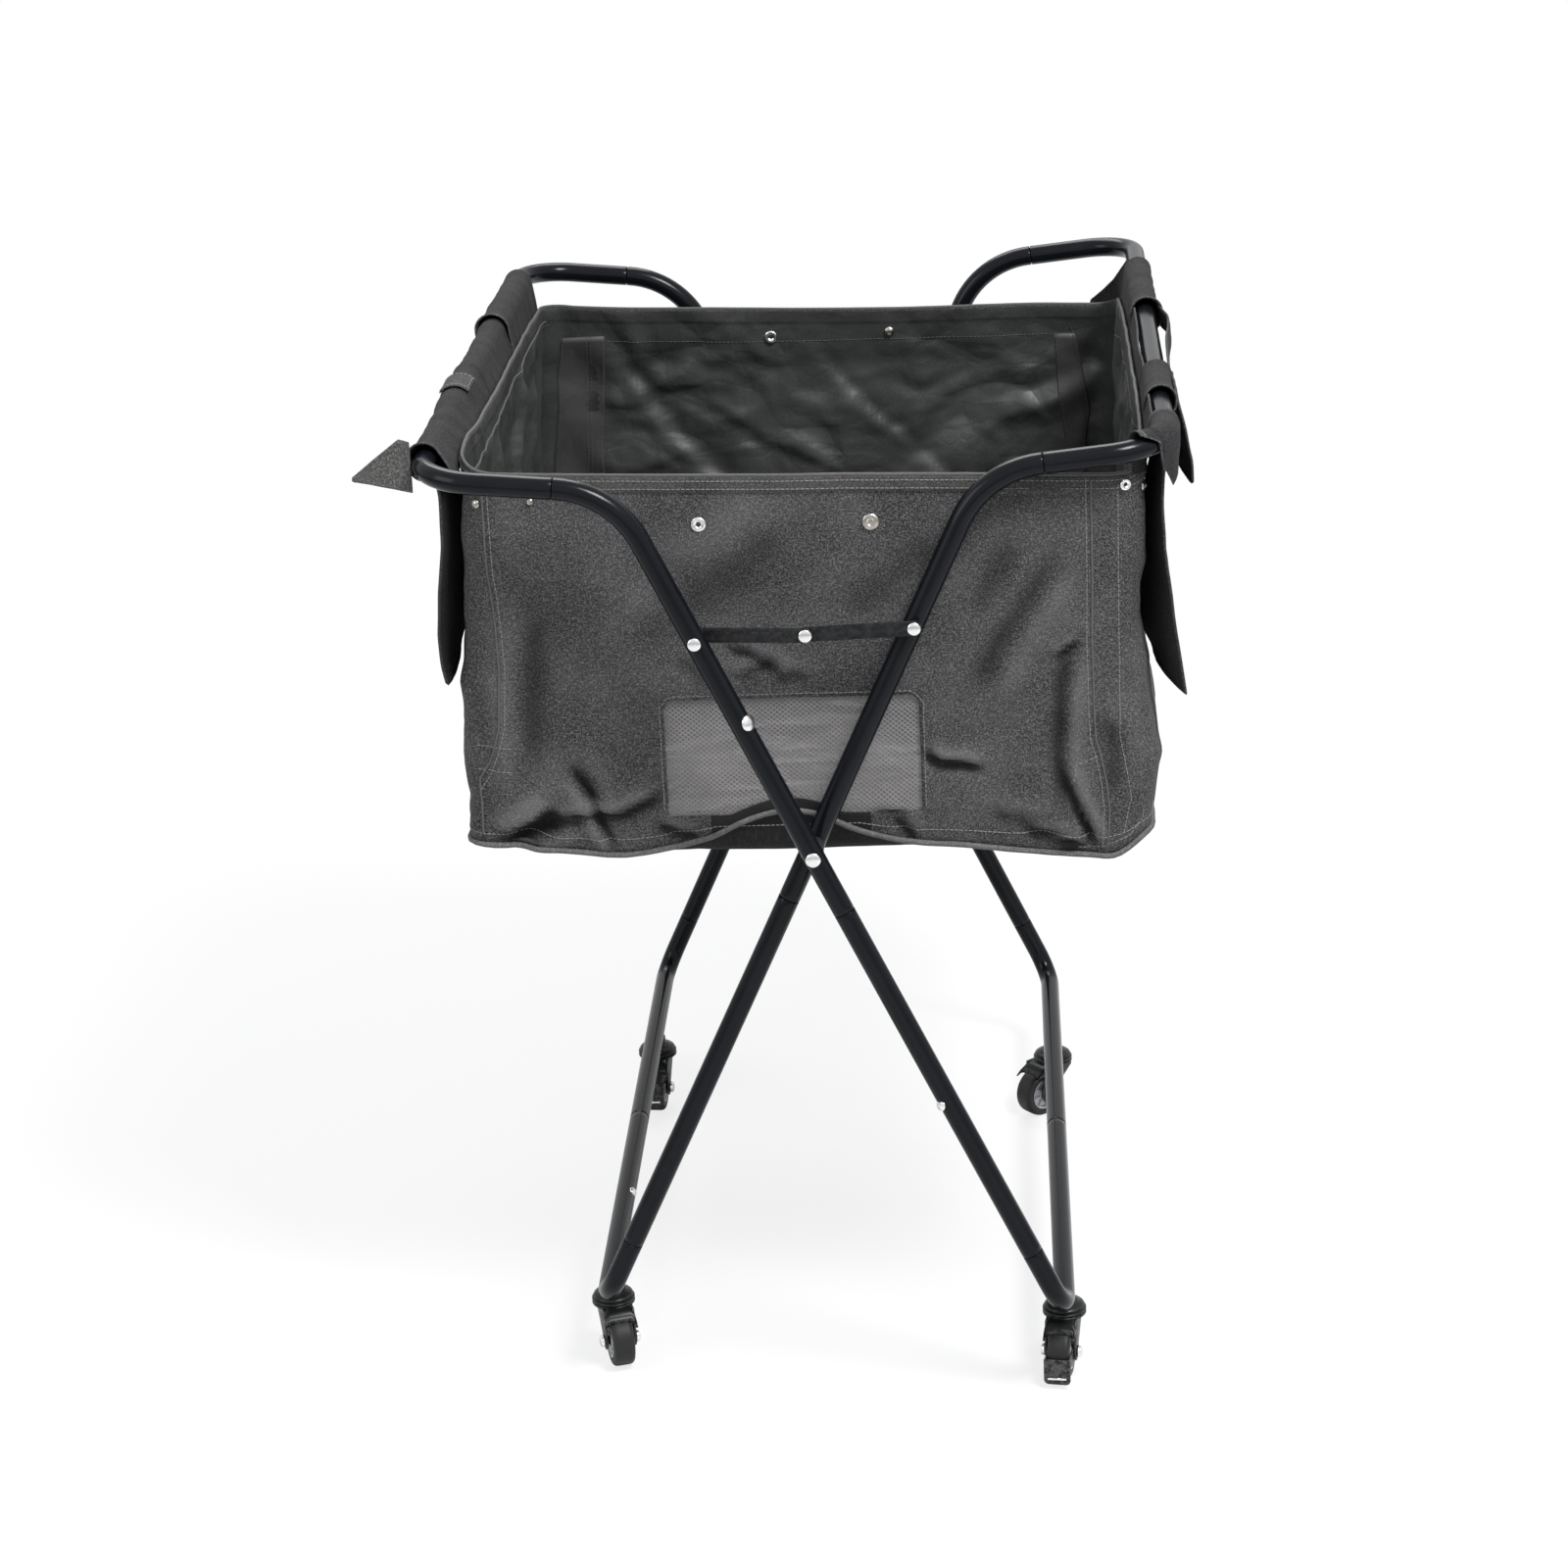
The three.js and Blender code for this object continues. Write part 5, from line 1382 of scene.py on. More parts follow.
def alongLines(name, lines, tree, finish, body=None, slot="bag_fabric", shows=False, **values):
    # Runs a tree over polylines and keeps the result as a plain mesh.
    vertices, edges = [], []
    for line in lines:
        edges += [(len(vertices) + i, len(vertices) + i + 1) for i in range(len(line) - 1)]
        vertices += [tuple(point) for point in line]
    mesh = bpy.data.meshes.new(name + "Lines")
    mesh.from_pydata(vertices, edges, [])
    holder = addObject(name + "Lines", mesh)
    modifier = holder.modifiers.new("lines", "NODES")
    modifier.node_group = tree
    values["Finish"] = finishes[finish]
    for item in tree.interface.items_tree:
        if item.in_out == "INPUT" and item.name in values:
            modifier[item.identifier] = values[item.name]
    bpy.context.view_layer.update()
    evaluated = holder.evaluated_get(bpy.context.evaluated_depsgraph_get())
    result = bpy.data.meshes.new_from_object(evaluated)
    holder.modifiers.clear()
    bpy.data.objects.remove(holder)
    bpy.data.meshes.remove(mesh)
    result.name = name
    return dress(addObject(name, result), body, shows)


# The window's net: two families of yarn that cross in diamonds, sewn on behind the cloth.
net = {
    "across": 5.0,  # from one crossing to the next, and down
    "down": 4.2,
    "yarn": {"Radius": 0.00052, "Sides": 4},
    "weave": 0.30,
    "behind": -1.9,
    "overlap": 7,  # past the window's edges
    "foot": 540,
}


def netLines():
    left, right = bag["windowLeft"] - net["overlap"], bag["windowRight"] + net["overlap"]
    top = bag["windowTop"] + net["overlap"]
    reach = (top - net["foot"]) * (net["across"] / net["down"])
    front = int(np.sum(normalY < -0.99))  # the front's columns come first
    edgeX, edgeZ = columnX[:front], edgeHeights(bottomEdge)[:front]
    lines = []
    for sign in (-1, 1):
        for index in range(int((right - left + 2 * reach) / net["across"])):
            x, z, step, points = left - reach + index * net["across"], top, 0, []
            while z > net["foot"]:
                low = max(bag["windowFoot"], float(np.interp(x, edgeX, edgeZ)) + bag["footStrip"]) - 5
                if left <= x <= right and z >= low:
                    over = net["weave"] * (1 if (step + index) % 2 else -1) * sign
                    points.append(at(*onWall("front", x, z, net["behind"] + over)[0]))
                z, x, step = z - net["down"] / 2, x + sign * net["across"] / 2, step + 1
            if len(points) > 2:
                lines.append(points)
    return lines


netPiece = alongLines(
    "bagWindowNet", netLines(), strands, "netYarn", slot="window_net", shows=True, **net["yarn"]
)
print("bag: window net", len(netPiece.data.polygons))


# Seams that stand up from the cloth, and the stitches beside them.
seams = [
    (
        "front",
        [
            (-271, 850), (-271, 778), (-267, 731), (-266, 693), (-269, 640), (-276, 615), (-289, 582),
            (-297, 540),
        ],
    ),
    (
        "front",
        [
            (244, 848), (244, 760), (243, 707), (244, 640), (245, 616), (249, 602), (254, 575), (256, 550),
            (254, 515),
        ],
    ),
    ("rear", [(-258, 838), (-258, 700), (-262, 600), (-268, 535)]),
    ("rear", [(258, 826), (257, 700), (260, 600), (264, 532)]),
    ("left", [(-300, 868), (-298, 700), (-296, 600), (-292, 540)]),
    ("left", [(300, 846), (298, 700), (296, 600), (292, 532)]),
    ("right", [(-300, 856), (-298, 700), (-296, 600), (-292, 532)]),
    ("right", [(300, 840), (298, 700), (296, 600), (292, 532)]),
]
hemSeam = [(325, 832), (210, 837), (8, 838), (-211, 842), (-318, 850)]  # inside the left wall
frontStitches = [
    # the outer line, the patch at each seam's foot, and the lower right corner
    [(266, 842), (266, 692), (265, 620), (268, 597), (272, 560), (268, 530)],
    [(249, 602), (228, 594), (226, 580)],
    [(-262, 621), (-290, 622)],
    [(-264, 599), (-289, 600)],
    [(283, 545), (272, 524), (250, 515), (230, 514)],
]
stitch = {"Spacing": 0.0042, "Length": 0.0030, "Radius": 0.00042, "Uneven": 0.12}
allRound = [*range(columnCount), 0]


def shifted(points, across):
    return [(along + across, z) for along, z in points]


def stitchLines():
    lift = outside + 0.12
    lines = [besideRow(0, lift + bag["hemThick"], -drop, allRound) for drop in (4.2, 11.2)]
    for wall, points in seams:
        lines.append(wallLine(wall, shifted(points, -4.5 if points[0][0] > 0 else 4.5), lift))
    left, right, top = bag["windowLeft"] - 3.5, bag["windowRight"] + 3.5, bag["windowTop"] + 3.5
    border = [(left, 562), (left, top - 10), (left + 4, top - 3), (left + 11, top)]
    border += [(right - 11, top), (right - 4, top - 3), (right, top - 10), (right, 560)]
    lines += [wallLine("front", points, lift) for points in frontStitches + [border]]
    row = rowCount - 3
    beside = [c for c in range(columnCount) if not -84 < wallX[row, c] < 40 or normalY[c] > -0.5]
    return lines + [besideRow(row, lift, 0, beside)]


seamLines = [wallLine(wall, points, outside + 0.35) for wall, points in seams]
seamLines.append(wallLine("left", hemSeam, -outside - 0.3))
alongLines("bagHemPiping", [besideRow(0, 0.4, 0.5, allRound)], strands, "seamLight", Radius=0.0015, Sides=10)
alongLines("bagSeams", seamLines, strands, "seamEdge", Radius=0.0009, Sides=8)
stitchPiece = alongLines("bagStitches", stitchLines(), stitches, "thread", **stitch, Seed=cart["seed"])
print("bag: seams and stitches", len(stitchPiece.data.polygons))


# Bands of lining that cover the seams inside the rear wall: lines down their two sides.
rearBands = {
    "rearBandLeft": ([(-279, 812), (-288, 668), (-290, 540)], [(-229, 802), (-237, 700), (-240, 540)]),
    "rearBandRight": (
        [(226, 800), (229, 736), (236, 684), (238, 540)],
        [(246, 806), (255, 758), (262, 719), (257, 683), (258, 540)],
    ),
}
bandFoot = 540
bandRing = [
    # the share of the way across, and the lift from the lining
    (0, -0.15), (0.06, -1.1), (0.3, -1.1), (0.5, -1.1), (0.7, -1.1), (0.94, -1.1), (1, -0.15), (1, 0.35),
    (0.5, 0.35), (0, 0.35),
]
bandSeams = [
    # wall, the stitches' lift from the lining, and places
    ("rear", -1.25, [(-248, 806), (-255, 668), (-258, 545)]),
    ("rear", -1.25, [(-244, 806), (-251, 668), (-254, 545)]),
    ("left", -0.2, [(330, 828), (210, 834), (8, 835), (-211, 839), (-320, 846)]),
    ("right", -0.2, [(325, 806), (200, 826), (0, 838), (-200, 836), (-320, 830)]),
    ("rear", -0.2, [(-225, 806), (-120, 802), (0, 800), (120, 800), (222, 800)]),
]


def addBand(name, left, right):
    rows, uv = [], []
    heights = np.linspace(left[0][1], bandFoot, 44)
    for z in heights:
        a, b = (float(np.interp(-z, [-p[1] for p in line], [p[0] for p in line])) for line in (left, right))
        for t, lift in bandRing:
            along = a + (b - a) * t
            rows.append(at(*onWall("rear", along, z, lift - outside)[0]))
            uv.append((along / 1000, z / 1000))
    # The section runs the other way round, so each face is turned about its first corner.
    faces = [face[:1] + face[:0:-1] for face in loftFaces(len(heights), len(bandRing))]
    piece = addPiece(name, Shape().add(rows, faces), "liningBand", None, "bag_fabric", False, uv)
    widths = [abs(b[0] - a[0]) / 1000 for a, b in zip(left, right)]


bandLines = []
for bandName, bandSides in rearBands.items():
    addBand(bandName, *bandSides)
    for line, inwards in zip(bandSides, (2.2, -2.2)):
        bandLines.append(wallLine("rear", shifted(line, inwards), -outside - 1.25))
bandLines += [wallLine(wall, points, lift - outside) for wall, lift, points in bandSeams]
bandStitch = {**stitch, "Length": 0.0028, "Radius": 0.00038, "Seed": cart["seed"] + 1}
alongLines("rearBandStitches", bandLines, stitches, "threadDark", **bandStitch)


# Press studs: rings that show their sockets, and domed caps.
studs = {
    # wall, place along it and up, ring or cap, radius, and 1 where it faces out
    "frontRing": ("front", -88, 819, "ring", 6.6, 1),
    "frontCap": ("front", 58, 817, "cap", 7.4, 1),
    "frontLeftRing": ("front", -230, 843, "cap", 3.0, 1),
    "frontLeftCap": ("front", -277, 841, "cap", 4.0, 1),
    "frontRightRing": ("front", 271, 843, "ring", 5.2, 1),
    "rightSideCap": ("right", -322, 836, "cap", 4.2, 1),
    "rearRing": ("rear", -60, 806, "ring", 6.6, -1),
    "rearCap": ("rear", 60, 808, "cap", 5.0, -1),
}


def addStud(name, wall, along, z, kind, r, facingOut):
    point, normal = onWall(wall, along, z, facingOut * (outside + 0.2))
    matrix = axisMatrix(at(*point), Vector(normal) * facingOut)
    if kind == "ring":
        inner = r * 0.34
        profile = [(r - 0.8, -0.4), (r, 0.1), (r - 0.2, 0.9), (r * 0.8, 1.5), (r * 0.62, 1.4)]
        shape = lathe(Shape(), profile + [(inner + 0.4, 1.0), (inner, 0.3), (0.02, 0.25)], matrix, 36)
        lathe(shape, [(r * 0.33, 0.27), (r * 0.32, 0.36), (0.02, 0.38)], matrix, 24, 1)
    else:
        dome = arc(0, 0.5, r, 0.15, pi / 2, 8, 2.0)[:-1]
        shape = lathe(Shape(), [(r - 0.8, -0.4), (r, 0), (r, 0.5)] + dome + [(0.02, 2.5)], matrix, 36)
        # A plain raised rim in the middle of the cap catches the light.
        rim = [(r * 0.36, 2.2), (r * 0.40, 2.62), (r * 0.48, 2.6), (r * 0.52, 2.1)]
        lathe(shape, rim, matrix, 28, closed=True, flip=True)
    finish = "zinc casterPaint" if kind == "ring" else "agedNickel casterPaint"
    addPiece(name, shape, finish, None, "rivet_steel", False)


for studName, studPlan in studs.items():
    addStud(studName, *studPlan)
print("bag: bands and press studs")


# Thin cloth: a grid of places in the middle of a sheet, in millimetres, given thickness.
def runAlong(line):
    return np.concatenate([[0], np.cumsum(np.linalg.norm(np.diff(line, axis=0), axis=1))])


def addSheet(name, grid, thickness, held, rests, shows=True, materials="strapCloth strapEdge"):
    rows, cols = grid.shape[:2]
    normal = np.cross(np.gradient(grid, axis=0), np.gradient(grid, axis=1))
    normal = normal / np.maximum(np.linalg.norm(normal, axis=2, keepdims=True), 1e-9)
    down, across = runAlong(grid[:, cols // 2]), runAlong(grid[rows // 2])
    r, c = np.meshgrid(np.arange(rows), np.arange(cols), indexing="ij")
    inset = np.minimum(np.minimum(r, rows - 1 - r), np.minimum(c, cols - 1 - c))
    # The hem is folded over, so it is thicker, and the very edge is rounded.
    half = (thickness / 2 * np.where(inset == 0, 0.7, np.where(inset <= 2, 1.35, 1.0)))[..., None]
    border = [(0, i) for i in range(cols)] + [(i, cols - 1) for i in range(1, rows)]
    border += [(rows - 1, i) for i in range(cols - 2, -1, -1)] + [(i, 0) for i in range(rows - 2, 0, -1)]
    rim = []
    for i, j in border:
        outward = grid[i, j] - grid[min(max(i, 1), rows - 2), min(max(j, 1), cols - 2)]
        rim.append(grid[i, j] + outward / max(np.linalg.norm(outward), 1e-9) * thickness * 0.3)
    size = rows * cols
    faced = [(grid + normal * half * way).reshape(-1, 3) for way in (1, -1)]
    places = np.concatenate([*faced, np.array(rim)])
    uv = [(down[i] / 1000, across[j] / 1000) for i in range(rows) for j in range(cols)] * 2
    uv += [(down[i] / 1000, across[j] / 1000) for i, j in border]
    faces, marks = [], []
    for i in range(rows - 1):
        for j in range(cols - 1):
            a, b, e, d = (k * cols + j + l for k, l in ((i, 0), (i + 1, 0), (i + 1, 1), (i, 1)))
            faces += [[a, b, e, d], [size + d, size + e, size + b, size + a]]
            marks += [int(min(i, rows - 2 - i, j, cols - 2 - j) < 1)] * 2
    for k, ((i0, j0), (i1, j1)) in enumerate(zip(border, border[1:] + border[:1])):
        a, b, m, n = i0 * cols + j0, i1 * cols + j1, 2 * size + k, 2 * size + (k + 1) % len(border)
        faces += [[a, b, n, m], [m, n, size + b, size + a]]
        marks += [1, 1]
    shape = Shape().add([at(*place) for place in places], faces, marks)
    body = "left_frame" if name.startswith("left") else "right_frame"
    piece = addPiece(name, shape, materials, body, "strap_fabric", shows, uv)
    a, b, d = grid[:-1, :-1], grid[1:, :-1], grid[:-1, 1:]


def hemmed(length, step, band=4.5):
    # Places from 0 to a length, with narrow steps at both ends for a hem.
    middle = np.linspace(band + 1, length - band - 1, max(3, round((length - 2 * band - 2) / step)))
    return np.concatenate([[0, 0.9, band], middle, [length - band, length - 0.9, length]])


def resampled(line, places):
    run = runAlong(line)
    spots = np.asarray(places) / places[-1] * run[-1]
    return np.stack([np.interp(spots, run, line[:, k]) for k in range(line.shape[1])], 1)


def railX(side, y):
    # A rail's centre, which is splayed towards the left front corner.
    splay = tube["frontSplay"] * (endY - tube["plane"] - y) / (2 * endY) if side < 0 else 0
    return side * (tube["railX"] + splay)


railZ = tube["railZ"]
sleeve = {"thickness": 1.5, "skirt": 9, "gap": 2.1, "foot": 7, "flap": 1.9}


def wrapLine(u, v, radius, drop=None):
    # A section through a wrap, from the bag's hem over the rail, u inwards and v up: it closes
    # below the rail, or hangs down outside by the drop.
    base, spread = atan2(v, u), acos(min(0.97, radius / hypot(u, v)))
    stop = base - spread + 2 * pi if drop is None else pi
    line = [(u, v - sleeve["skirt"]), (u, v - 2)] + arc(0, 0, radius, base + spread, stop, 40)
    if drop is None:
        line += [(u - sleeve["gap"], v - 2), (u - sleeve["gap"], v - 2 - sleeve["foot"])]
    else:
        line += [(-radius - 0.3, -4), (-radius + 0.6, -0.5 * drop), (-radius + 1.8, -drop)]
    return np.array(line)


wraps = {
    # side, front and rear ends, radius along it, flare of each end, slant of the rear end
    "leftRearWrap": (-1, 103, 300, [(103, 15.4), (130, 14.4), (200, 13.2), (300, 12.4)], (1.6, 0.3), 16),
    "leftMiddleWrap": (-1, -68, 112, [(-68, 11.9), (-20, 11.5), (112, 11.4)], (0, 0), 0),
    "leftFrontWrap": (
        -1, -336, -66,
        [
            (-336, 14.2), (-318, 12.4), (-200, 12.0), (-172, 13.6), (-140, 14.6), (-104, 14.2), (-88, 12.6),
            (-66, 13.4),
        ],
        (2.6, 0.8), 0,
    ),
    "rightRearWrap": (1, 90, 273, [(90, 13.4), (110, 12.3), (273, 12.0)], (4.2, 0.6), 26),
    "rightMiddleWrap": (1, -216, -126, [(-216, 13.4), (-190, 12.2), (-126, 12.4)], (2.2, 1.2), 0),
}


def noiseAt(*place):
    return noise.noise(Vector(place))


def wrapGrid(side, front, rear, radii, flares, slant):
    hem = topEdge["left" if side < 0 else "right"]
    rows = []
    for y in front + hemmed(rear - front, 4.0):
        centre, radius = railX(side, y), float(read(radii, y))
        line = wrapLine(abs(centre) - (bag["halfX"] + 3.9), float(read(hem, y)) - 4 - railZ, radius)
        section = resampled(line, hemmed(110, 2.4, 3.0))
        angle = np.arctan2(section[:, 1], section[:, 0])
        outer, high = np.exp(-((np.abs(angle) - 2.5) / 0.9) ** 2), np.exp(-((angle - 1.4) / 1.0) ** 2)
        nearFront, nearRear = exp(-(y - front) / 9), exp(-(rear - y) / 9)
        lift = flares[0] * nearFront * (0.8 * outer + 0.7 * high) + flares[1] * nearRear * (outer + high)
        spanned = np.clip(np.hypot(section[:, 0], section[:, 1]) / radius - 1, 0, 1)
        share = np.linspace(0, 1, len(section))
        for k in range(len(section)):
            spot = Vector((side * 90 + section[k, 0] * 0.5, y, section[k, 1] * 0.5))
            crease = noise.noise(spot / 21) * 1.1 + noise.noise(spot / 8 + Vector((5, 0, 0))) * 0.4
            pleat = 2.4 * sin(y / 5.2 + 2.2 * noiseAt(y / 30, side * 3, 0)) * spanned[k]
            push = lift[k] + max(-0.5, crease) + (0.35 * pleat if 0.12 < share[k] < 0.4 else 0)
            section[k] += section[k] / max(1e-6, hypot(*section[k])) * push
        slanted = np.where(section[:, 0] > 8, slant * np.clip((section[:, 0] - 8) / 12, 0, 1), 0)
        shift = slanted * max(0.0, (y - front) / (rear - front)) ** 3
        if front < -300:
            shift = shift - 7 * np.exp(-(((np.degrees(angle) + 90) / 45) ** 2)) * nearFront
        ragged = np.array([noiseAt(s * 7, front / 10, side) for s in share])
        shift = shift + 1.6 * ragged * (nearFront + nearRear)
        rows.append(np.stack([centre - side * section[:, 0], y + shift, railZ + section[:, 1]], 1))
    return np.array(rows)


def cornerWrapGrid():
    # The right front wrap follows the bend, and its free end drops outside to a point.
    bend = tube["railBend"]
    bendX, bendY = tube["railX"] - bend, tube["plane"] + bend - endY
    drops = [(0, 26), (12, 34), (22, 41), (34, 26), (50, 10), (61, 4)]  # by the angle round the bend
    stations = [(0.0, y) for y in np.linspace(-283, bendY, 8)]
    stations += [(angle, bendY) for angle in np.linspace(7, 61, 11)]
    rows = []
    for index, (angle, y) in enumerate(stations):
        turn = radians(angle)
        out = np.array([cos(turn), -sin(turn), 0])
        centre = np.array([bendX + bend * cos(turn), y if angle == 0 else bendY - bend * sin(turn), railZ])
        drop = float(read(drops, angle)) - max(0, 3 - index) * 5
        radius = 12.0 + 1.3 * exp(-index / 1.5) + 1.0 * exp(-(len(stations) - 1 - index) / 1.5)
        line = wrapLine(16.4 - 2.0 * sin(2 * turn), -22.0, radius, max(drop, 5))
        if angle > 40:
            line = line[: int(len(line) * np.interp(angle, [40, 61], [0.93, 0.66]))]
        section = resampled(line, hemmed(90, 2.4, 3.0))
        for k in range(len(section)):
            spot = Vector((index * 3.4, section[k, 0], section[k, 1]))
            section[k] *= 1 + (0.9 * noise.noise(spot / 14) + 0.4 * noise.noise(spot / 6)) / 14
        rows.append(centre - out * section[:, :1] + np.array([0, 0, 1.0]) * section[:, 1:])
    return np.array(rows)


for wrapName, wrapPlan in wraps.items():
    way = wrapPlan[0]
    addSheet(wrapName, wrapGrid(*wrapPlan)[::way], sleeve["thickness"], "folded", [rails[way > 0]])
addSheet("rightFrontWrap", cornerWrapGrid()[::-1], sleeve["thickness"], "folded", rails[1:])


# Loose ends of the wraps' straps. Each is a strip whose two edges are lines of places.
def stripGrid(edgeA, edgeB, down, across, rough=0.5, seed=0.0):
    a, b = (resampled(np.array(edge, float), down)[:, None, :] for edge in (edgeA, edgeB))
    t = (np.asarray(across) / across[-1])[None, :, None]
    grid = a * (1 - t) + b * t
    for i, j in np.ndindex(grid.shape[:2]):
        spot = Vector((i * 0.16 + seed, j * 0.2, seed))
        grid[i, j, 0] += rough * (noise.noise(spot) + 0.4 * noise.noise(spot * 3))
    return grid


def roundedEnd(grid, amount, middle=0.5):
    # Draws the corners of a strip's last rows in to a round or pointed tip.
    out = grid.copy()
    for j in range(grid.shape[1]):
        away = abs(j / (grid.shape[1] - 1) - middle) / max(middle, 1 - middle)
        run = runAlong(grid[:, j])
        places = run * (1 - amount * (1 - sqrt(max(0, 1 - away**2.4))) / run[-1])
        out[:, j] = np.stack([np.interp(places, run, grid[:, j, k]) for k in range(3)], 1)
    return out


def besideWall(side, y, heights, clear):
    # Places just outside a side wall of the bag.
    spots = [(onWall("left" if side < 0 else "right", y, min(z, 845), outside)[0][0], z) for z in heights]
    return [(side * (abs(x) + clear), y, z) for x, z in spots]


flaps = {
    # front and rear edges; length down and width, each with its steps; roughness and seed; the
    # tip's depth and middle; and the wrap it hangs from
    # Hanging from under the front wrap and bowing outwards, in cloth painted dark as shade.
    "leftHangingFlap": (
        [
            (-311, -329, 864), (-309, -329, 842), (-310.5, -329, 799), (-316, -329, 760), (-319.5, -329, 720),
            (-318, -329, 690), (-314.5, -329, 672),
        ],
        [
            (-308, -262, 864), (-299, -262, 845), *besideWall(-1, -262, (825, 800, 760, 725), 2.2),
            (-311, -262, 692), (-312, -262, 672),
        ],
        (194, 5, 4), (67, 4.5, 4), (0.5, 1.0), (22, 0.42), "leftFrontWrap",
    ),
    # Turned so that its front edge stands away from the bag.
    "rightHangingFlap": (
        [
            (307, -328, 864), (305.5, -328, 842), (305, -329, 816), (306.5, -330, 781), (311, -331, 746),
            (315, -332, 710), (321, -332, 668), (323.5, -331, 650),
        ],
        [
            (304, -262, 864), (297.8, -262, 845), *besideWall(1, -263, (825, 800, 765, 730, 700), 1.9),
            (297.5, -264, 675), (301, -265, 650),
        ],
        (216, 5, 4), (68, 4.5, 4), (0.5, 4.0), (26, 0.14), "rightFrontWrap",
    ),
    # Square, from the outside of its wrap.
    "rightMiddleFlap": (
        [(322.6, -214, 882), (326.5, -215, 866), (331, -216, 848), (335, -216, 825), (336, -216, 802)],
        [(322.2, -128, 882), (323.4, -127, 866), (325, -126, 848), (325.5, -126, 825), (325, -126, 800)],
        (84, 4.5, 4), (88, 4.5, 4), (0.8, 7.0), (5, 0.5), "rightMiddleWrap",
    ),
}
for flapName, (flapFront, flapRear, flapDown, flapAcross, flapNoise, flapTip, flapHold) in flaps.items():
    flapGrid = stripGrid(flapFront, flapRear, hemmed(*flapDown), hemmed(*flapAcross), *flapNoise)
    flapGrid = roundedEnd(flapGrid, *flapTip)[:, :: 1 if flapName.startswith("left") else -1]
    # The flaps take the darker cloth, painted shade.
    addSheet(flapName, flapGrid, sleeve["flap"], "hung", [flapHold], materials="flapCloth flapEdge")


def cornerFlapGrid():
    # Stiff, standing straight out in the plane of the front.
    low = [(-330, -340.5, 853), (-345, -340, 856.5), (-362, -340.5, 860.5), (-380, -341.5, 864.5)]
    high = [(-330, -340.5, 897), (-338.5, -340, 899.5), (-360, -340.3, 883.5), (-380, -341.3, 867.5)]
    grid = stripGrid(low, high, hemmed(49, 3.6, 2.6), hemmed(40, 3.4, 2.6), 0.0)
    for i, j in np.ndindex(grid.shape[:2]):
        grid[i, j, 1] += 0.8 * noiseAt(i * 0.3, j * 0.3, 2.0)
    return grid[:, ::-1]


corner = {"materials": "cornerCloth cornerCloth"}
addSheet("leftCornerFlap", cornerFlapGrid(), sleeve["flap"], "hung", ["leftFrontWrap"], **corner)
print("straps: wraps and loose ends")


# Cloth that stands up from the right hem beside the bare rail, between the wraps.
def upstandGrid(front, rear, sag):
    rows = []
    for y in front + hemmed(rear - front, 5.0, 3.0):
        top = float(read(topEdge["right"], y))
        droop = sag * exp(-(((y - (front + rear) / 2 + 30) / 48) ** 2))
        line = [(293.0, top - 9), (293.2, top - 1), (295.4 - 0.2 * droop, 872)]
        line += [(297.4 - 0.8 * droop, 882), (298.2 - droop, 887 - 0.25 * droop)]
        section = resampled(np.array(line), hemmed(34, 2.6, 2.6))
        waver = 0.5 * noiseAt(y / 22, 0, 1.7)
        x, z = section[:, 0] - abs(waver), section[:, 1] + waver
        rows.append(np.stack([x, np.full(len(section), y), z], 1))
    return np.array(rows)[:, ::-1]


def gussetGrid():
    # A corner of cloth from the rear end of the right rear wrap down to the rear hem.
    foot = [(292.8, 277, 848), (292.8, 312, 833), (289, 330, 827), (278, 344, 823), (262, 347.6, 824)]
    high = [(298.5, 275, 889), (292, 293, 874.5), (285.5, 311, 860), (276, 331, 845.5), (264, 348.5, 831)]
    return stripGrid(high, foot, hemmed(90, 4.0, 2.4), hemmed(36, 3.0, 2.4), 0.4, 9.0)


def outerStrapGrid():
    # A strap that runs loose along the outside of the right rail, between two wraps.
    places = [(-132, 13.0), (-80, 14.0), (-20, 16.0), (30, 20.0), (62, 20.5), (88, 15.5), (100, 13.6)]
    rows = []
    for y in 98 - hemmed(228, 5.0, 3.0):
        away = float(smoothLine(places, y))
        x = tube["railX"] + away
        line = np.array([(x - 1.5, 889 - 0.15 * away), (x, 880), (x + 0.8, 866)])
        section = resampled(line, hemmed(24, 2.6, 2.6))
        rows.append(np.stack([section[:, 0], np.full(len(section), y), section[:, 1]], 1))
    return np.array(rows)


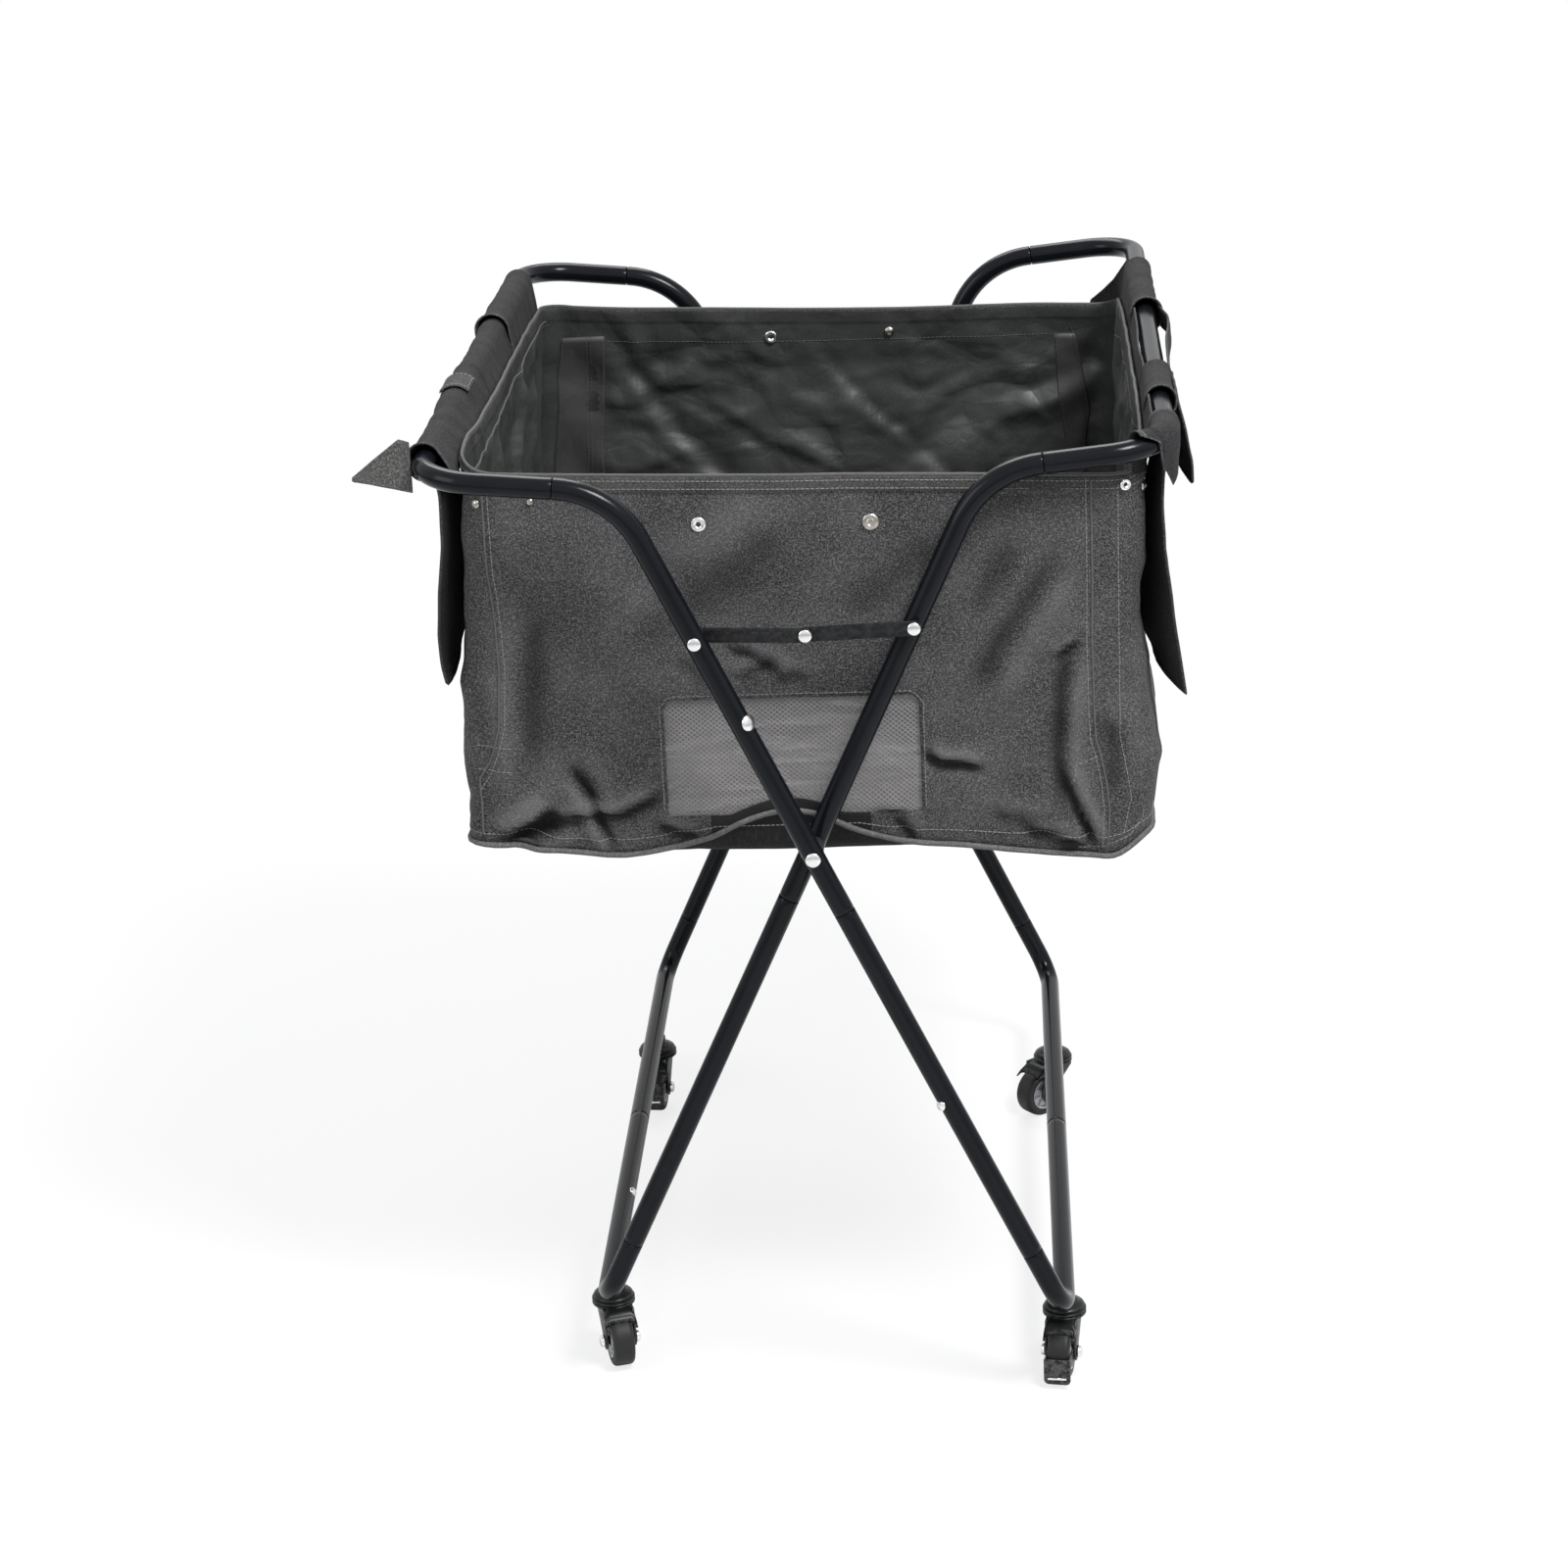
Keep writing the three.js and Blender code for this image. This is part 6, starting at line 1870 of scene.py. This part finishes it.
thick = sleeve["thickness"]
addSheet("rightOuterStrap", outerStrapGrid(), thick, "hung", ["rightRearWrap", "rightMiddleWrap"], False)
addSheet("rightUpstandFront", upstandGrid(-281, -218.5, 0.0), thick, "stretched", ["bagCloth"], False)
addSheet("rightUpstandMiddle", upstandGrid(-124.5, 87.5, 2.0), thick, "stretched", ["bagCloth"], False)
addSheet("rightRearGusset", gussetGrid(), thick, "stretched", ["rightRearWrap"], False)


# The stitched patch on the left front wrap, with its row of stitches.
def onLeftWrap(y, degrees, radius):
    angle = radians(degrees)
    return (railX(-1, y) + radius * cos(angle), y, railZ + radius * sin(angle))


def addPatch():
    around, down = np.linspace(142, 40, 18), -152 + hemmed(42, 3.2, 2.4)
    grid = np.array([[onLeftWrap(y, turn, 16.6 + 0.3 * sin(y / 3)) for turn in around] for y in down])
    addSheet("leftWrapPatch", grid[:, ::-1], 1.3, "laid", ["leftFrontWrap"], False, "patchCloth strapEdge")
    lines = [[(y, turn) for turn in np.linspace(136, 46, 16)] for y in (-148.4, -113.8)]
    lines += [[(y, turn) for y in np.linspace(-147, -115, 12)] for turn in (133, 49)]
    lines = [[at(*onLeftWrap(y, turn, 17.5)) for y, turn in line] for line in lines]
    small = {"Spacing": 0.0036, "Length": 0.0027, "Radius": 0.0004, "Uneven": 0.1, "Seed": 11}
    alongLines("leftWrapPatchStitches", lines, stitches, "thread", "left_frame", "strap_fabric", **small)


addPatch()


# Screw heads on the frame: body, place, axis, radius and height.
screws = {
    "upperLegButton": ("left_frame", (-57.4, -392, 656), (0.75, -0.62, 0.25), 7.4, 3.6),
    "lowerLegButton": ("left_frame", (110.8, -392, 295), (-0.8, -0.6, 0.1), 5.6, 2.4),
    "bottomRailButton": ("right_frame", (-208.9, -149, 85), (0.8, -0.2, 0.55), 4.4, 2.4),
}
for screwName, (body, spot, axis, wide, high) in screws.items():
    direction = Vector(axis).normalized()
    start = at(*spot) + direction * (tube["radius"] - 0.5) / 1000
    head = [(wide * 0.55, -0.3), (wide * 0.96, 0.1), (wide, 0.6)]
    head += arc(0, 0.6, wide, 0.2, pi / 2, 9, high)[:-1] + [(0.02, 0.6 + high)]
    shape = lathe(Shape(), capped(head), axisMatrix(start, direction), 40)
    addPiece(screwName, shape, "zinc", body, "rivet_steel", False)
print("frame: screw heads")
